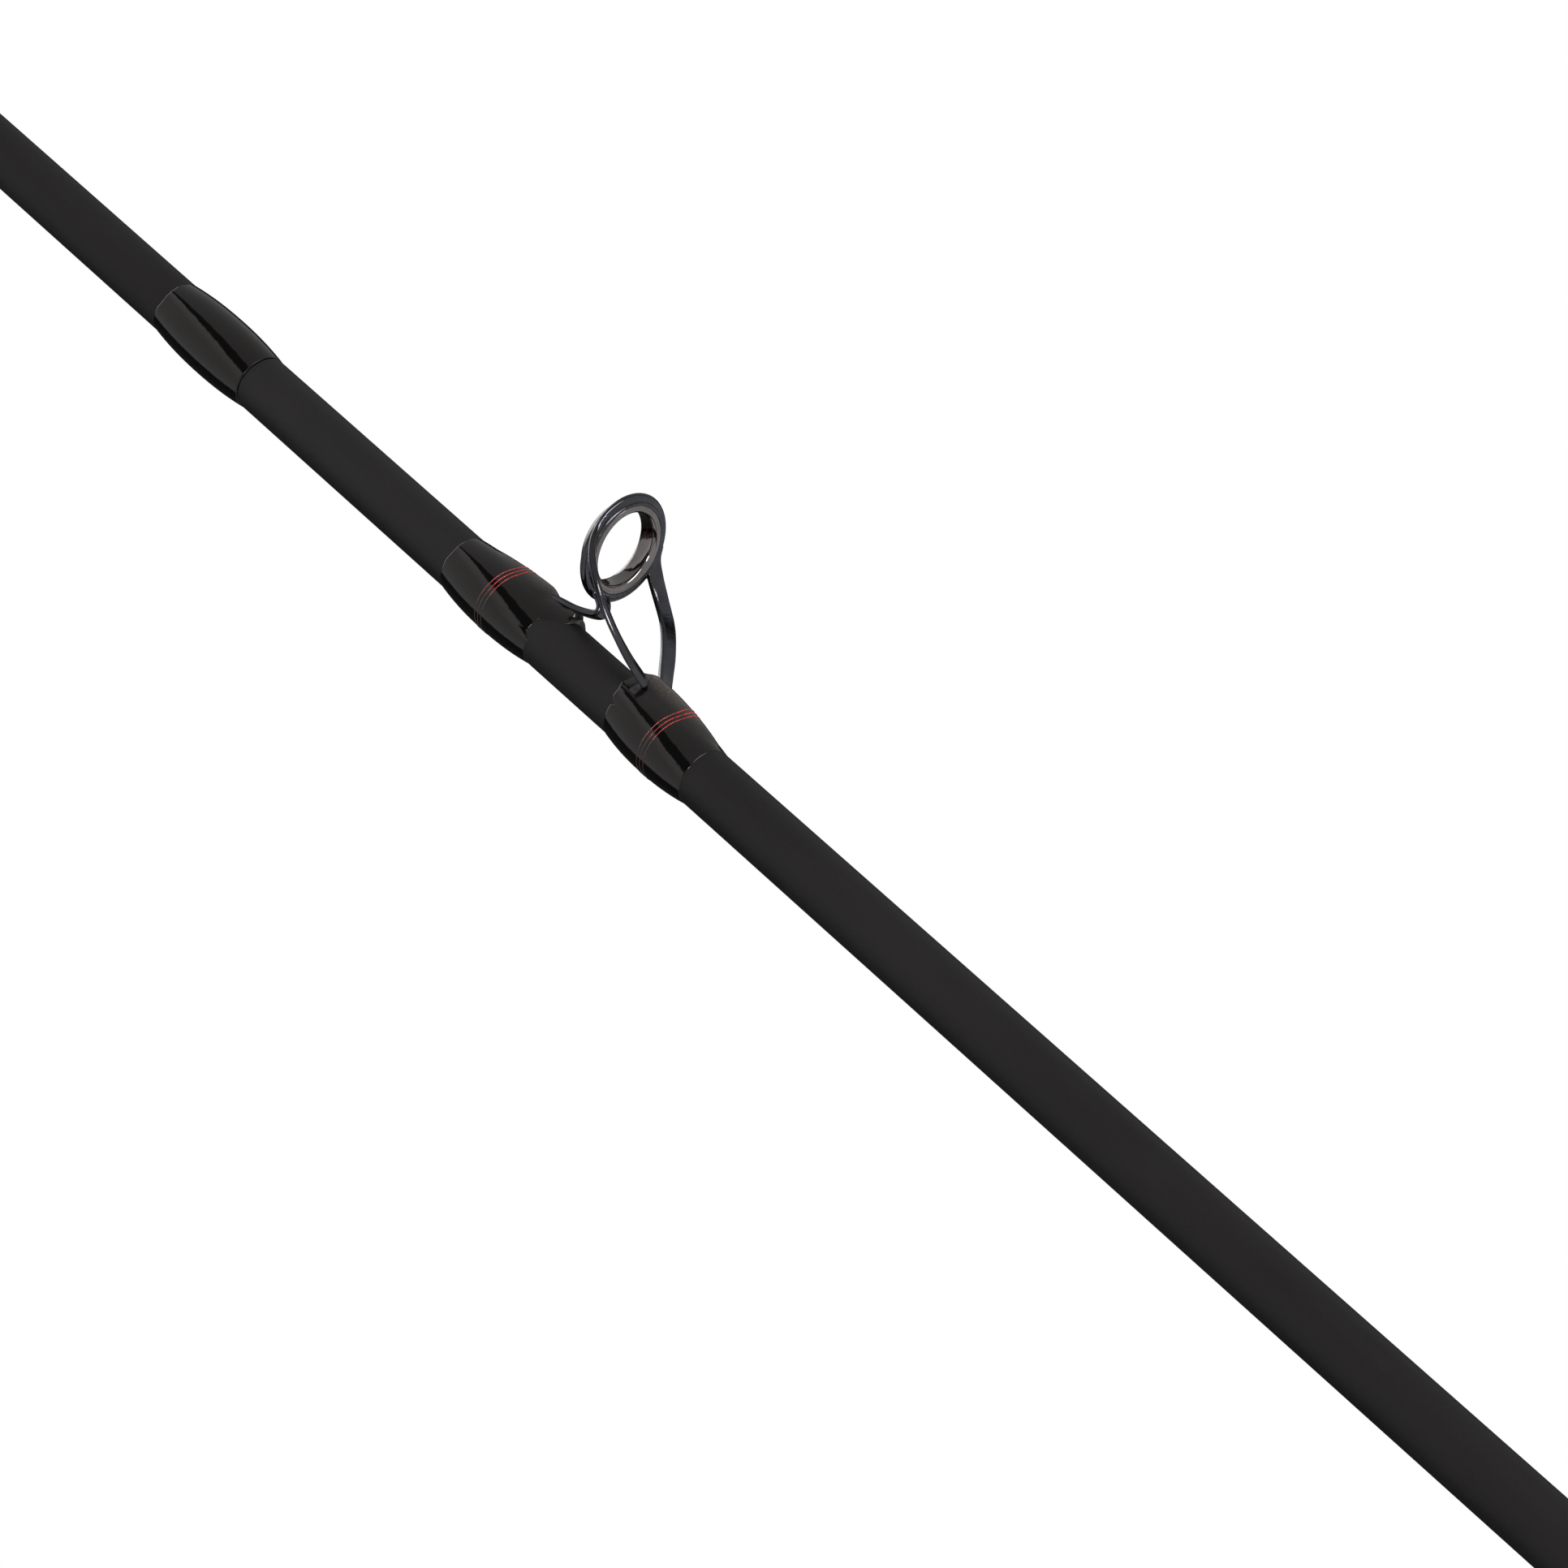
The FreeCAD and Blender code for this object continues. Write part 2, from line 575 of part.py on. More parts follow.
def build_tip_guides():
    for number, (station, size) in enumerate(TIP_GUIDES, start=2):
        guide = Guide(station, size, tip_radius, TIP_CORE)
        frame = guide.frame()
        prefix = "guide_" + str(number)
        save(prefix + "_frame", frame)
        save(prefix + "_ring", guide.insert())
        front, rear = guide.wraps(frame)
        save(prefix + "_thread", Part.makeCompound([front[0], rear[0]]))
        save(prefix + "_coat", Part.makeCompound([front[1], rear[1]]))


def build_tip_top():
    """End guide: a tube over the blank's end with a ring held out on three braces."""
    bottom = TIP_TOP_TUBE_Z
    guide = Guide(bottom + TIP_TOP_RING_Z, TIP_TOP_SIZE, lambda z: TIP_TOP_RING_BASE, TIP_CORE)
    top = bottom + TIP_TOP_TUBE_LEN
    tube_r = tip_radius(bottom) + TIP_TOP_TUBE_WALL
    sleeve = cylinder(tube_r, bottom, top).cut(TIP_CORE)
    shift = FRAME_RING_SHIFT
    ring = guide.ring_lathe([(SEAT_RING_R, shift - 0.8), (FRAME_RING_R - 0.3, shift - 0.8),
                             (FRAME_RING_R, shift), (FRAME_RING_R - 0.3, shift + 0.8),
                             (SEAT_RING_R, shift + 0.9)])
    hole = guide.ring_lathe([(0, -4), (SEAT_RING_R, -4), (SEAT_RING_R, 4), (0, 4)])
    centre, axis = guide.ring_frame()
    rim = (SEAT_RING_R + FRAME_RING_R) / 2 * guide.k
    lean = math.radians(RING_LEAN)
    braces = []
    for side, low_z in ((-1, bottom + 2), (1, bottom + 2), (0, top - 3)):
        angle = math.pi - side * math.radians(82)
        out = Vector(math.cos(lean) * math.cos(angle), math.sin(angle), math.sin(lean) * math.cos(angle))
        ring_point = centre + out * rim + axis * (shift * guide.k)
        foot = Vector(tube_r * (0.75 if side else 0.9), side * tube_r * 0.6, low_z)
        direction = ring_point - foot
        braces.append(Part.makeCylinder(TIP_TOP_BRACE_R, direction.Length, foot, direction))
    frame = sleeve.fuse([ring] + braces).cut(hole).cut(TIP_CORE)
    save("tip_top_frame", largest_solid(frame))
    save("tip_top_ring", guide.insert())

    low = bottom - 7
    sleeve_end = bottom + 1.5
    thread = cylinder(tube_r + 0.15, low, sleeve_end).cut(TIP_CORE).cut(frame)
    save("tip_top_thread", largest_solid(thread))
    coat_low = low - 0.5
    coat_high = sleeve_end + 0.5
    coat_bulge = 0.25
    steps = 9
    outline = []
    for i in range(steps):
        z = coat_low + (coat_high - coat_low) * i / (steps - 1)
        outline.append((tube_r + 0.17 + bulge(z, coat_low, coat_high, coat_bulge), z))
    coat = lathe_curved(outline, 0.3).cut(TIP_CORE).cut(frame).cut(thread)
    save("tip_top_coat", largest_solid(coat))


build_blanks()
build_grips()
build_seat()
build_hoods()
build_keeper()
build_ferrule_wrap()
build_stripper()
build_tip_guides()
build_tip_top()

for node_name, node_shape in nodes.items():
    box = node_shape.optimalBoundingBox()
    state = "ok" if node_shape.isValid() else "INVALID"
    print(f"{node_name:24s} solids {len(node_shape.Solids)} vol {node_shape.Volume:10.2f} {state} "
          f"x {box.XMin:7.2f} {box.XMax:7.2f} z {box.ZMin:8.2f} {box.ZMax:8.2f}")
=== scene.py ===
import functools
import json
import math

import bmesh
import bpy
import numpy as np
from mathutils import Matrix, Vector


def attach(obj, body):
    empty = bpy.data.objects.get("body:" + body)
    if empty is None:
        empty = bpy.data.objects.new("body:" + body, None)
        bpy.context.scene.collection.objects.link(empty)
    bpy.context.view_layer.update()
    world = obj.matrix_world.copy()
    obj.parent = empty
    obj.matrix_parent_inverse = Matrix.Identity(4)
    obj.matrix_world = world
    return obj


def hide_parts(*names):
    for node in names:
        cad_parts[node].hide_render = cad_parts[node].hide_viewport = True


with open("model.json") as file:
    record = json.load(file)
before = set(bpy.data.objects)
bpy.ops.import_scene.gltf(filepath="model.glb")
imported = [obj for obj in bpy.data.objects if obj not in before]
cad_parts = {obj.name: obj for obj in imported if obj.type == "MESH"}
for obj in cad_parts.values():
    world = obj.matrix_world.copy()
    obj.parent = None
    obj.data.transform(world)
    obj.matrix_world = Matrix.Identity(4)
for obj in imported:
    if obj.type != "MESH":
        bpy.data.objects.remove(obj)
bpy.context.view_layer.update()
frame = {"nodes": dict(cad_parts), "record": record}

# Looks of the two-piece casting rod. Geometry is worked out in millimetres and written in metres.
# +Z runs from butt to tip and +X is the side of the guides and the reel, as in the CAD model.
MM = 0.001
TAU = 2 * math.pi
ROUND = 128                     # columns round a turned piece
FINE_ROUND = 224
BUTT = "butt_section"
TIP = "tip_section"

# Blank and ferrule. The lower section tapers evenly, and the upper one faster above its knee.
BUTT_START = 4.0
FERRULE_Z = 966.3
TIP_START = 966.45
STRIPPER_Z = 900.0              # station of the first guide
STRIPPER_R = 4.25               # radius of the blank there
BUTT_TAPER = 0.00206
KNEE_Z = 1030.0
KNEE_R = 4.03
TIP_END_Z = 1970.0
TIP_END_R = 1.1
TIP_STATIONS = (FERRULE_Z, KNEE_Z, TIP_END_Z)
TIP_RADII = (4.16, KNEE_R, TIP_END_R)
SPIGOT_R = 2.9
SOCKET_R = 2.95
NUT_BORE_R = 9.06               # bore of the lock nut and of the sliding hood

# The first guide is a size 16 and the others are scaled from it. Its coordinates start on the blank's axis at
# the guide's station: x away from the axis, y across the guide and z towards the tip.
REFERENCE_BORE_R = 5.6
RING_HEIGHT = 16.14
RING_LEAN = math.radians(10.2)
FRAME_RING_SHIFT = -0.46        # middle of the frame's rim, along the ring's own axis
RIM_INNER_R = 6.5
LEG_WIDTH = 2.35
LEG_THICK = 0.95
TAB_WIDTH = 2.6
TAB_THICK = 1.0
LEG_PATH = ((18.8, 6.9, 0.0), (16.9, 7.35, -0.45), (15.1, 8.05, -1.75), (13.1, 8.85, -4.3),
            (10.9, 8.85, -7.9), (8.5, 7.4, -11.6), (6.43, 5.2, -15.0), (5.23, 3.4, -17.4),
            (4.55, 2.25, -18.9))
TAB_PATH = ((9.4, -2.0), (8.6, -3.5), (7.7, -4.1), (7.0, -3.7), (6.35, -2.4), (5.7, -0.4),
            (5.25, 1.8), (4.8, 4.0), (4.4, 6.4))

# Feet: where each starts and how far it reaches, towards the tip or, below zero, towards the butt
FOOT_R = 1.7
FOOT_HEIGHT = 0.95
FRONT_ROOT = 3.0
FRONT_FOOT = 13.8
REAR_ROOT = -17.0
REAR_FOOT = -15.4

# Epoxy over the feet, from the guide's station. Its edges beside the ring are given as pairs of degrees away
# from the guides' side and station.
FRONT_END = 19.3
REAR_END = -34.0
FRONT_LOW_EDGE = ((0, -2.3), (22, -2.5), (32, -2.3), (43, -1.35), (53, -0.16), (63, 1.0), (79, 1.15),
                  (96, 1.14), (111, 0.3), (180, 0.6))
REAR_HIGH_EDGE = ((0, -16.2), (13, -16.1), (48, -15.9), (62, -16.5), (78, -16.7), (90, -17.9), (94, -17.4),
                  (116, -17.3), (125, -17.4), (180, -17.2))
COAT_BULGE = 0.76
HOLLOW_WIDTH = 0.5              # radians to each side, where the epoxy thins out under the metal
LIP = 0.03                      # thickness of the epoxy at its edge
CURL_LENGTH = 0.12              # along the rod, where the edge rounds off
EDGE_SINK = 0.03                # below the blank's surface, at the edge and inside
INSIDE_SINK = 0.25
TRIM_R = 0.075
TRIM_PITCH = 0.68
FRONT_TRIM = 9.75
REAR_TRIM = -26.4

# Camera: its place in metres, the direction of its back and its roll in degrees, its lens in millimetres
CAMERA_AT = (0.18442, -1.20517, 0.02618)
CAMERA_AZIMUTH = -81.60707
CAMERA_ELEVATION = -34.23098
CAMERA_ROLL = -48.46584
CAMERA_SENSOR = 36.0
CAMERA_LENS = 253.51

# World: radiance of each part, where 1 is the white behind the rod, and the two edges of the dark gap. An
# edge leans in azimuth with the elevation, and its azimuth is the one at LEAN_ELEVATION.
LEFT_PANEL = 0.66
LEFT_GLOW = 0.34                # added to the left panel towards the gap
RIGHT_PANEL = 0.47
BELOW = 0.55
AMBIENT = 0.03
ZENITH = 3.2
LEFT_EDGE = -76.0
LEFT_LEAN = 1.8
RIGHT_EDGE = -53.0
RIGHT_LEAN = 1.1
LEAN_ELEVATION = 34.0
EDGE_BLUR = 1.5

# Their other borders, from none of a part to all of it, as azimuths or as sines of the elevation
LEFT_START = (-179, -173)
RIGHT_START = (64, 56)
GLOW_FADE = (-36, 0)            # as an azimuth from the left edge
PANEL_FOOT = (0.02, 0.10)
PANEL_TOP = (0.97, 0.80)
BELOW_TOP = (0.02, -0.05)
ZENITH_RIM = (0.86, 0.93)

# Azimuth, elevation, distance, width, height and radiance of each soft box. Their beams are narrow, to miss
# the floor, and SPREAD_SHARE takes out the gain in radiance that a narrow beam brings.
LAMP_AIM = (0.016, 0, 0.9)
LAMP_SPREAD = math.radians(70)
SPREAD_SHARE = 1 - LAMP_SPREAD / 2 / math.tan(LAMP_SPREAD / 2)
LAMPS = ((-92.0, -22.0, 1.3, 0.30, 0.25, 16.0), (-33.0, -16.0, 1.3, 1.3, 0.25, 12.0))

MOUNTS = {m["name"]: m for m in frame["record"]["mounts"]}


def butt_radius(z):
    return STRIPPER_R + BUTT_TAPER * (STRIPPER_Z - z)


def tip_radius(z):
    return np.interp(z, TIP_STATIONS, TIP_RADII)


def smoothstep(x):
    x = np.clip(x, 0, 1)
    return x * x * (3 - 2 * x)


def shares(count):
    """Evenly spread shares from 0 to 1."""
    return [i / (count - 1) for i in range(count)]


def around(cols):
    """Angles of evenly spread columns round the rod, from +X."""
    return np.arange(cols) * TAU / cols


# ---- mesh helpers ----
def make_object(name, verts, faces, material, smooth_angle=40):
    """New mesh object from points in millimetres."""
    mesh = bpy.data.meshes.new(name)
    mesh.from_pydata([tuple(float(c) * MM for c in v) for v in verts], [], faces)
    bm = bmesh.new()
    bm.from_mesh(mesh)
    bmesh.ops.recalc_face_normals(bm, faces=bm.faces)
    bm.to_mesh(mesh)
    bm.free()
    obj = bpy.data.objects.new(name, mesh)
    bpy.context.scene.collection.objects.link(obj)
    mesh.materials.append(material)
    shade(obj, smooth_angle)
    return obj


def shade(obj, smooth_angle):
    """Smooth shading, with sharp edges where faces meet at more than smooth_angle."""
    for other in bpy.context.selected_objects:
        other.select_set(False)
    obj.select_set(True)
    bpy.context.view_layer.objects.active = obj
    bpy.ops.object.shade_smooth_by_angle(angle=math.radians(smooth_angle))


def grid_faces(rows, cols, close_rows):
    """Quads of a grid whose columns close on themselves, and whose rows may."""
    faces = []
    last = rows if close_rows else rows - 1
    for i in range(last):
        a = i * cols
        b = (i + 1) % rows * cols
        for j in range(cols):
            k = (j + 1) % cols
            faces.append((a + j, a + k, b + k, b + j))
    return faces


def capped_grid_faces(rows, cols):
    """Quads of a grid whose columns close on themselves, and a cap on its first and last row."""
    last = (rows - 1) * cols
    return grid_faces(rows, cols, False) + [tuple(range(cols)), tuple(range(last, last + cols))]


def soften(points, radius):
    """Round the corners of an open (radius, z) line."""
    steps = 4
    p = [np.array(q, float) for q in points]
    result = [tuple(p[0])]
    for before, corner, after in zip(p, p[1:], p[2:]):
        a = before - corner
        b = after - corner
        reach = min(radius, 0.45 * np.linalg.norm(a), 0.45 * np.linalg.norm(b))
        start = corner + a / np.linalg.norm(a) * reach
        end = corner + b / np.linalg.norm(b) * reach
        for i in range(steps + 1):
            t = i / steps
            result.append(tuple((1 - t) ** 2 * start + 2 * t * (1 - t) * corner + t * t * end))
    result.append(tuple(p[-1]))
    return result


def catmull(points, count):
    """Evenly spread points on a smooth curve through the given points."""
    steps = 24
    p = np.array(points, float)
    ends = np.vstack([2 * p[0] - p[1], p, 2 * p[-1] - p[-2]])
    dense = []
    for i in range(len(p) - 1):
        a, b, c, d = ends[i:i + 4]
        for t in np.linspace(0, 1, steps, endpoint=False):
            dense.append(0.5 * (2 * b + (c - a) * t + (2 * a - 5 * b + 4 * c - d) * t * t
                                + (3 * b - a - 3 * c + d) * t ** 3))
    dense.append(p[-1])
    dense = np.array(dense)
    along = np.concatenate([[0], np.cumsum(np.linalg.norm(np.diff(dense, axis=0), axis=1))])
    spread = np.linspace(0, along[-1], count)
    return np.stack([np.interp(spread, along, dense[:, i]) for i in range(p.shape[1])], 1)


def lathe_data(outline, cols=ROUND, closed=False, place=None):
    """Verts and faces turned from (radius, z) points. An open outline is capped at both ends."""
    verts = []
    for r, z in outline:
        for a in around(cols):
            point = (r * math.cos(a), r * math.sin(a), z)
            verts.append(place(*point) if place else point)
    if closed:
        return verts, grid_faces(len(outline), cols, True)
    return verts, capped_grid_faces(len(outline), cols)


def lathe(name, outline, material, cols=ROUND):
    return make_object(name, *lathe_data(outline, cols), material)


def polar_data(rows):
    """Verts and faces of a closed sleeve from rows of (radii, z); the last row meets the first."""
    cols = len(rows[0][0])
    angles = around(cols)
    verts = []
    for radius, z in rows:
        verts.extend(zip(radius * np.cos(angles), radius * np.sin(angles), np.broadcast_to(z, (cols,))))
    return verts, grid_faces(len(rows), cols, True)


def polar_piece(name, rows, material, smooth_angle=40):
    return make_object(name, *polar_data(rows), material, smooth_angle)


def join_data(*parts):
    """Several (verts, faces) as one."""
    verts = []
    faces = []
    for v, f in parts:
        start = len(verts)
        verts.extend(v)
        faces.extend(tuple(i + start for i in face) for face in f)
    return verts, faces


def rounded_section(width, height, corner):
    """Rounded rectangle as 2-D points, counterclockwise."""
    steps = 5
    half_w = width / 2 - corner
    half_h = height / 2 - corner
    corners = ((half_w, half_h, 0), (-half_w, half_h, 90), (-half_w, -half_h, 180), (half_w, -half_h, 270))
    points = []
    for x, y, start in corners:
        for i in range(steps):
            a = math.radians(start + 90 * i / (steps - 1))
            points.append((x + corner * math.cos(a), y + corner * math.sin(a)))
    return points


def circle_section(radius, count):
    return [(radius * math.cos(TAU * i / count), radius * math.sin(TAU * i / count)) for i in range(count)]


def sweep(points, sections, sides):
    """Verts and faces of a capped bar: sections[i] is laid at points[i] with its width along sides[i]."""
    verts = []
    count = len(points)
    for i in range(count):
        ahead = points[min(i + 1, count - 1)] - points[max(i - 1, 0)]
        tangent = ahead / np.linalg.norm(ahead)
        side = np.array(sides[i], float)
        side = side - tangent * side.dot(tangent)
        side = side / np.linalg.norm(side)
        up = np.cross(tangent, side)
        for x, y in sections[i]:
            verts.append(tuple(points[i] + side * x + up * y))
    return verts, capped_grid_faces(count, len(sections[0]))


def fuse(obj, voxel, smooth_steps):
    """Melt the overlapping shells of a mesh into one skin with small fillets."""
    remesh = obj.modifiers.new("melt", "REMESH")
    remesh.mode = "VOXEL"
    remesh.voxel_size = voxel * MM
    relax = obj.modifiers.new("relax", "SMOOTH")
    relax.factor = 0.5
    relax.iterations = smooth_steps
    graph = bpy.context.evaluated_depsgraph_get()
    mesh = bpy.data.meshes.new_from_object(obj.evaluated_get(graph))
    old = obj.data
    obj.modifiers.clear()
    obj.data = mesh
    bpy.data.meshes.remove(old)
    shade(obj, 60)


def settle(obj, body, slot, *replaced):
    """Attaches a piece to the body it rides on and hides the CAD nodes it stands for. The slot argument is
    not used.
    """
    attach(obj, body)
    if replaced:
        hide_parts(*replaced)


# ---- materials ----
GRAIN_LOW = 0.3                 # most of a noise lies between these two
GRAIN_HIGH = 0.7


def feed(tree, socket, value):
    """Gives a socket a plain value, or links a node's output to it."""
    if isinstance(value, bpy.types.NodeSocket):
        tree.links.new(value, socket)
    else:
        socket.default_value = value


def feed_named(tree, node, inputs):
    """Feeds a node's inputs by their names, written with _ in place of a space."""
    for name, value in inputs.items():
        feed(tree, node.inputs[name.replace("_", " ")], value)


def add_node(tree, kind, **inputs):
    node = tree.nodes.new("ShaderNode" + kind)
    feed_named(tree, node, inputs)
    return node


def arithmetic(tree, operation, *values):
    node = add_node(tree, "Math")
    node.operation = operation
    for socket, value in zip(node.inputs, values):
        feed(tree, socket, value)
    return node.outputs[0]


def fade(tree, value, start, end):
    """Smooth step from 0 at start to 1 at end, whichever of the two is the greater."""
    rising = end > start
    node = add_node(tree, "MapRange", Value=value, From_Min=min(start, end), From_Max=max(start, end),
                    To_Min=0.0 if rising else 1.0, To_Max=1.0 if rising else 0.0)
    node.interpolation_type = "SMOOTHSTEP"
    return node.outputs["Result"]


class Look:
    """A procedural material. Texture sizes are in millimetres of the object's own space."""

    def __init__(self, name, metallic=0.0):
        self.material = bpy.data.materials.new(name)
        self.material.use_nodes = True
        self.tree = self.material.node_tree
        self.bsdf = self.tree.nodes["Principled BSDF"]
        self.coords = add_node(self.tree, "TexCoord").outputs["Object"]
        self.set(Metallic=metallic, IOR=1.5)

    def noise(self, size, detail=2.0, rough=0.5, stretch=(1, 1, 1)):
        place = add_node(self.tree, "Mapping", Scale=stretch, Vector=self.coords).outputs["Vector"]
        node = add_node(self.tree, "TexNoise", Scale=1 / (size * MM), Detail=detail, Roughness=rough,
                        Vector=place)
        return node.outputs["Fac"]

    def cells(self, size):
        node = add_node(self.tree, "TexVoronoi", Scale=1 / (size * MM), Vector=self.coords)
        return node.outputs["Distance"]

    def rings(self, pitch, distortion):
        """Bands across the rod, one each pitch."""
        node = add_node(self.tree, "TexWave", Scale=math.pi / 10 / (pitch * MM), Distortion=distortion,
                        Vector=self.coords)
        node.wave_type = "BANDS"
        node.bands_direction = "Z"
        return node.outputs["Fac"]

    def towards_guides(self, start, end, grain):
        """A grain that fades in along +X, the side of the guides, from one place to the other."""
        x = add_node(self.tree, "SeparateXYZ", Vector=self.coords).outputs["X"]
        return arithmetic(self.tree, "MULTIPLY", fade(self.tree, x, start * MM, end * MM), grain)

    def colour(self, grain, dark, light, low=GRAIN_LOW, high=GRAIN_HIGH):
        """Base colour that turns from dark to light as the grain goes from low to high."""
        node = add_node(self.tree, "ValToRGB", Fac=grain)
        for stop, position, shade_colour in zip(node.color_ramp.elements, (low, high), (dark, light)):
            stop.position = position
            stop.color = (*shade_colour, 1)
        self.set(Base_Color=node.outputs["Color"])

    def roughness(self, grain, low, high):
        node = add_node(self.tree, "MapRange", Value=grain, From_Min=GRAIN_LOW, From_Max=GRAIN_HIGH,
                        To_Min=low, To_Max=high)
        self.set(Roughness=node.outputs["Result"])

    def bump(self, height, depth):
        """Adds a bump of the given depth in millimetres, on top of any bump already there."""
        node = add_node(self.tree, "Bump", Strength=1.0, Distance=depth * MM, Height=height)
        before = self.bsdf.inputs["Normal"]
        if before.is_linked:
            self.tree.links.new(before.links[0].from_socket, node.inputs["Normal"])
        self.set(Normal=node.outputs["Normal"])

    def set(self, **inputs):
        """Inputs of the surface's shader. What is the same all over is a plain value on its socket."""
        feed_named(self.tree, self.bsdf, inputs)


def blank_look():
    look = Look("blank")
    broad = look.noise(7.0, 3.0, 0.6, (1, 1, 0.25))
    grain = look.noise(0.12)
    look.colour(broad, (0.0048, 0.0043, 0.0048), (0.0080, 0.0073, 0.0078))
    look.roughness(broad, 0.50, 0.58)
    look.bump(grain, 0.012)
    look.bump(look.noise(1.6, 2.0, 0.5, (1, 1, 0.3)), 0.010)
    look.set(Specular_IOR_Level=0.27, Specular_Tint=(1.0, 0.93, 0.98, 1.0))
    return look.material


def spigot_look():
    look = Look("spigot")
    wave = look.rings(0.35, 2.0)
    look.colour(look.noise(2.0, 3.0, 0.6, (1, 1, 0.15)), (0.030, 0.030, 0.034), (0.060, 0.060, 0.066))
    look.roughness(wave, 0.35, 0.5)
    look.bump(wave, 0.006)
    return look.material


def coat_look():
    """Clear high-gloss finish over black thread. Towards the guides' side the colour lightens: partly the
    metal foot showing through, partly a painted reflection of a bright part of the studio.
    """
    look = Look("epoxy")
    # Painted reflection: this mask's light end brightens the coat on the guides' side beyond what the dark
    # foot under it would show.
    foot = look.towards_guides(4.2, 6.2, look.noise(0.5, 4.0, 0.7))
    look.colour(foot, (0.0034, 0.0032, 0.0031), (0.11, 0.097, 0.088), 0.0, 1.0)
    look.roughness(look.noise(1.2, 3.0, 0.6), 0.035, 0.09)
    look.bump(look.noise(2.6, 2.0, 0.5), 0.028)
    look.bump(look.noise(0.10), 0.0010)
    look.set(Specular_Tint=(1.0, 0.94, 0.92, 1.0))
    return look.material


def trim_look():
    look = Look("trim_thread")
    glint = look.towards_guides(-5.0, 3.0, look.noise(0.55, 3.0, 0.65))
    look.colour(glint, (0.030, 0.002, 0.002), (0.85, 0.022, 0.022), 0.30, 0.62)
    look.roughness(look.noise(0.3), 0.3, 0.5)
    look.bump(look.noise(0.12), 0.01)
    look.set(Coat_Weight=0.6, Coat_Roughness=0.08)
    return look.material


def guide_look():
    """Polished black nickel, with a faint blue and brown tint from place to place."""
    look = Look("guide_metal", metallic=1.0)
    look.colour(look.noise(4.5), (0.062, 0.059, 0.061), (0.095, 0.100, 0.120))
    look.roughness(look.noise(1.5, 3.0, 0.6), 0.07, 0.15)
    look.bump(look.noise(0.9), 0.010)
    look.bump(look.noise(0.12), 0.0008)
    return look.material


def insert_look():
    look = Look("ring_insert", metallic=1.0)
    look.colour(look.noise(3.0), (0.190, 0.177, 0.174), (0.260, 0.243, 0.240))
    look.roughness(look.noise(1.2, 3.0), 0.06, 0.12)
    look.bump(look.noise(0.5), 0.003)
    return look.material


def foam_look():
    look = Look("foam_grip")
    cells = look.cells(0.55)
    look.colour(look.noise(1.3, 4.0, 0.65), (0.010, 0.010, 0.011), (0.028, 0.028, 0.030))
    look.roughness(look.noise(0.6), 0.8, 0.95)
    look.bump(cells, 0.10)
    look.bump(look.noise(0.25, 3.0), 0.05)
    return look.material


def rubber_look():
    look = Look("rubber_cap")
    look.colour(look.noise(2.5, 4.0, 0.6), (0.011, 0.011, 0.011), (0.024, 0.023, 0.023))
    look.roughness(look.noise(0.8), 0.55, 0.72)
    look.bump(look.noise(0.22, 3.0), 0.03)
    return look.material


def anodised_look():
    look = Look("red_anodised", metallic=1.0)
    turned = look.rings(0.10, 0.4)
    look.colour(look.noise(1.4, 2.0, 0.5, (0.3, 0.3, 2)), (0.36, 0.010, 0.012), (0.52, 0.022, 0.022))
    look.roughness(turned, 0.20, 0.32)
    look.bump(turned, 0.004)
    return look.material


def seat_look():
    look = Look("seat_plastic")
    look.colour(look.noise(1.8, 4.0, 0.65), (0.014, 0.014, 0.015), (0.034, 0.034, 0.037))
    look.roughness(look.noise(0.9, 3.0), 0.30, 0.44)
    look.bump(look.noise(0.16, 3.0), 0.010)
    return look.material


def arbor_look():
    look = Look("arbor")
    look.colour(look.noise(0.8, 4.0), (0.16, 0.16, 0.15), (0.30, 0.30, 0.29))
    look.roughness(look.noise(0.5), 0.8, 0.95)
    look.bump(look.cells(0.5), 0.08)
    return look.material


def hood_look():
    look = Look("hood_metal", metallic=1.0)
    brushed = look.noise(0.35, 3.0, 0.6, (0.08, 0.08, 3))
    look.colour(brushed, (0.15, 0.15, 0.16), (0.24, 0.24, 0.25))
    look.roughness(brushed, 0.22, 0.36)
    look.bump(brushed, 0.003)
    return look.material


def nut_look():
    look = Look("nut_metal", metallic=1.0)
    turned = look.rings(0.12, 0.5)
    look.colour(look.noise(1.2, 3.0), (0.040, 0.040, 0.044), (0.070, 0.070, 0.076))
    look.roughness(turned, 0.26, 0.38)
    look.bump(turned, 0.004)
    return look.material


def floor_look():
    look = Look("floor")
    look.colour(look.noise(400.0, 3.0), (0.78, 0.78, 0.77), (0.82, 0.82, 0.81))
    look.roughness(look.noise(30.0), 0.75, 0.85)
    return look.material


BLANK = blank_look()
SPIGOT = spigot_look()
EPOXY = coat_look()
TRIM = trim_look()
GUIDE_METAL = guide_look()
INSERT = insert_look()
FOAM = foam_look()
RUBBER = rubber_look()
ANODISED = anodised_look()
SEAT = seat_look()
ARBOR = arbor_look()
HOOD = hood_look()
NUT = nut_look()
FLOOR = floor_look()


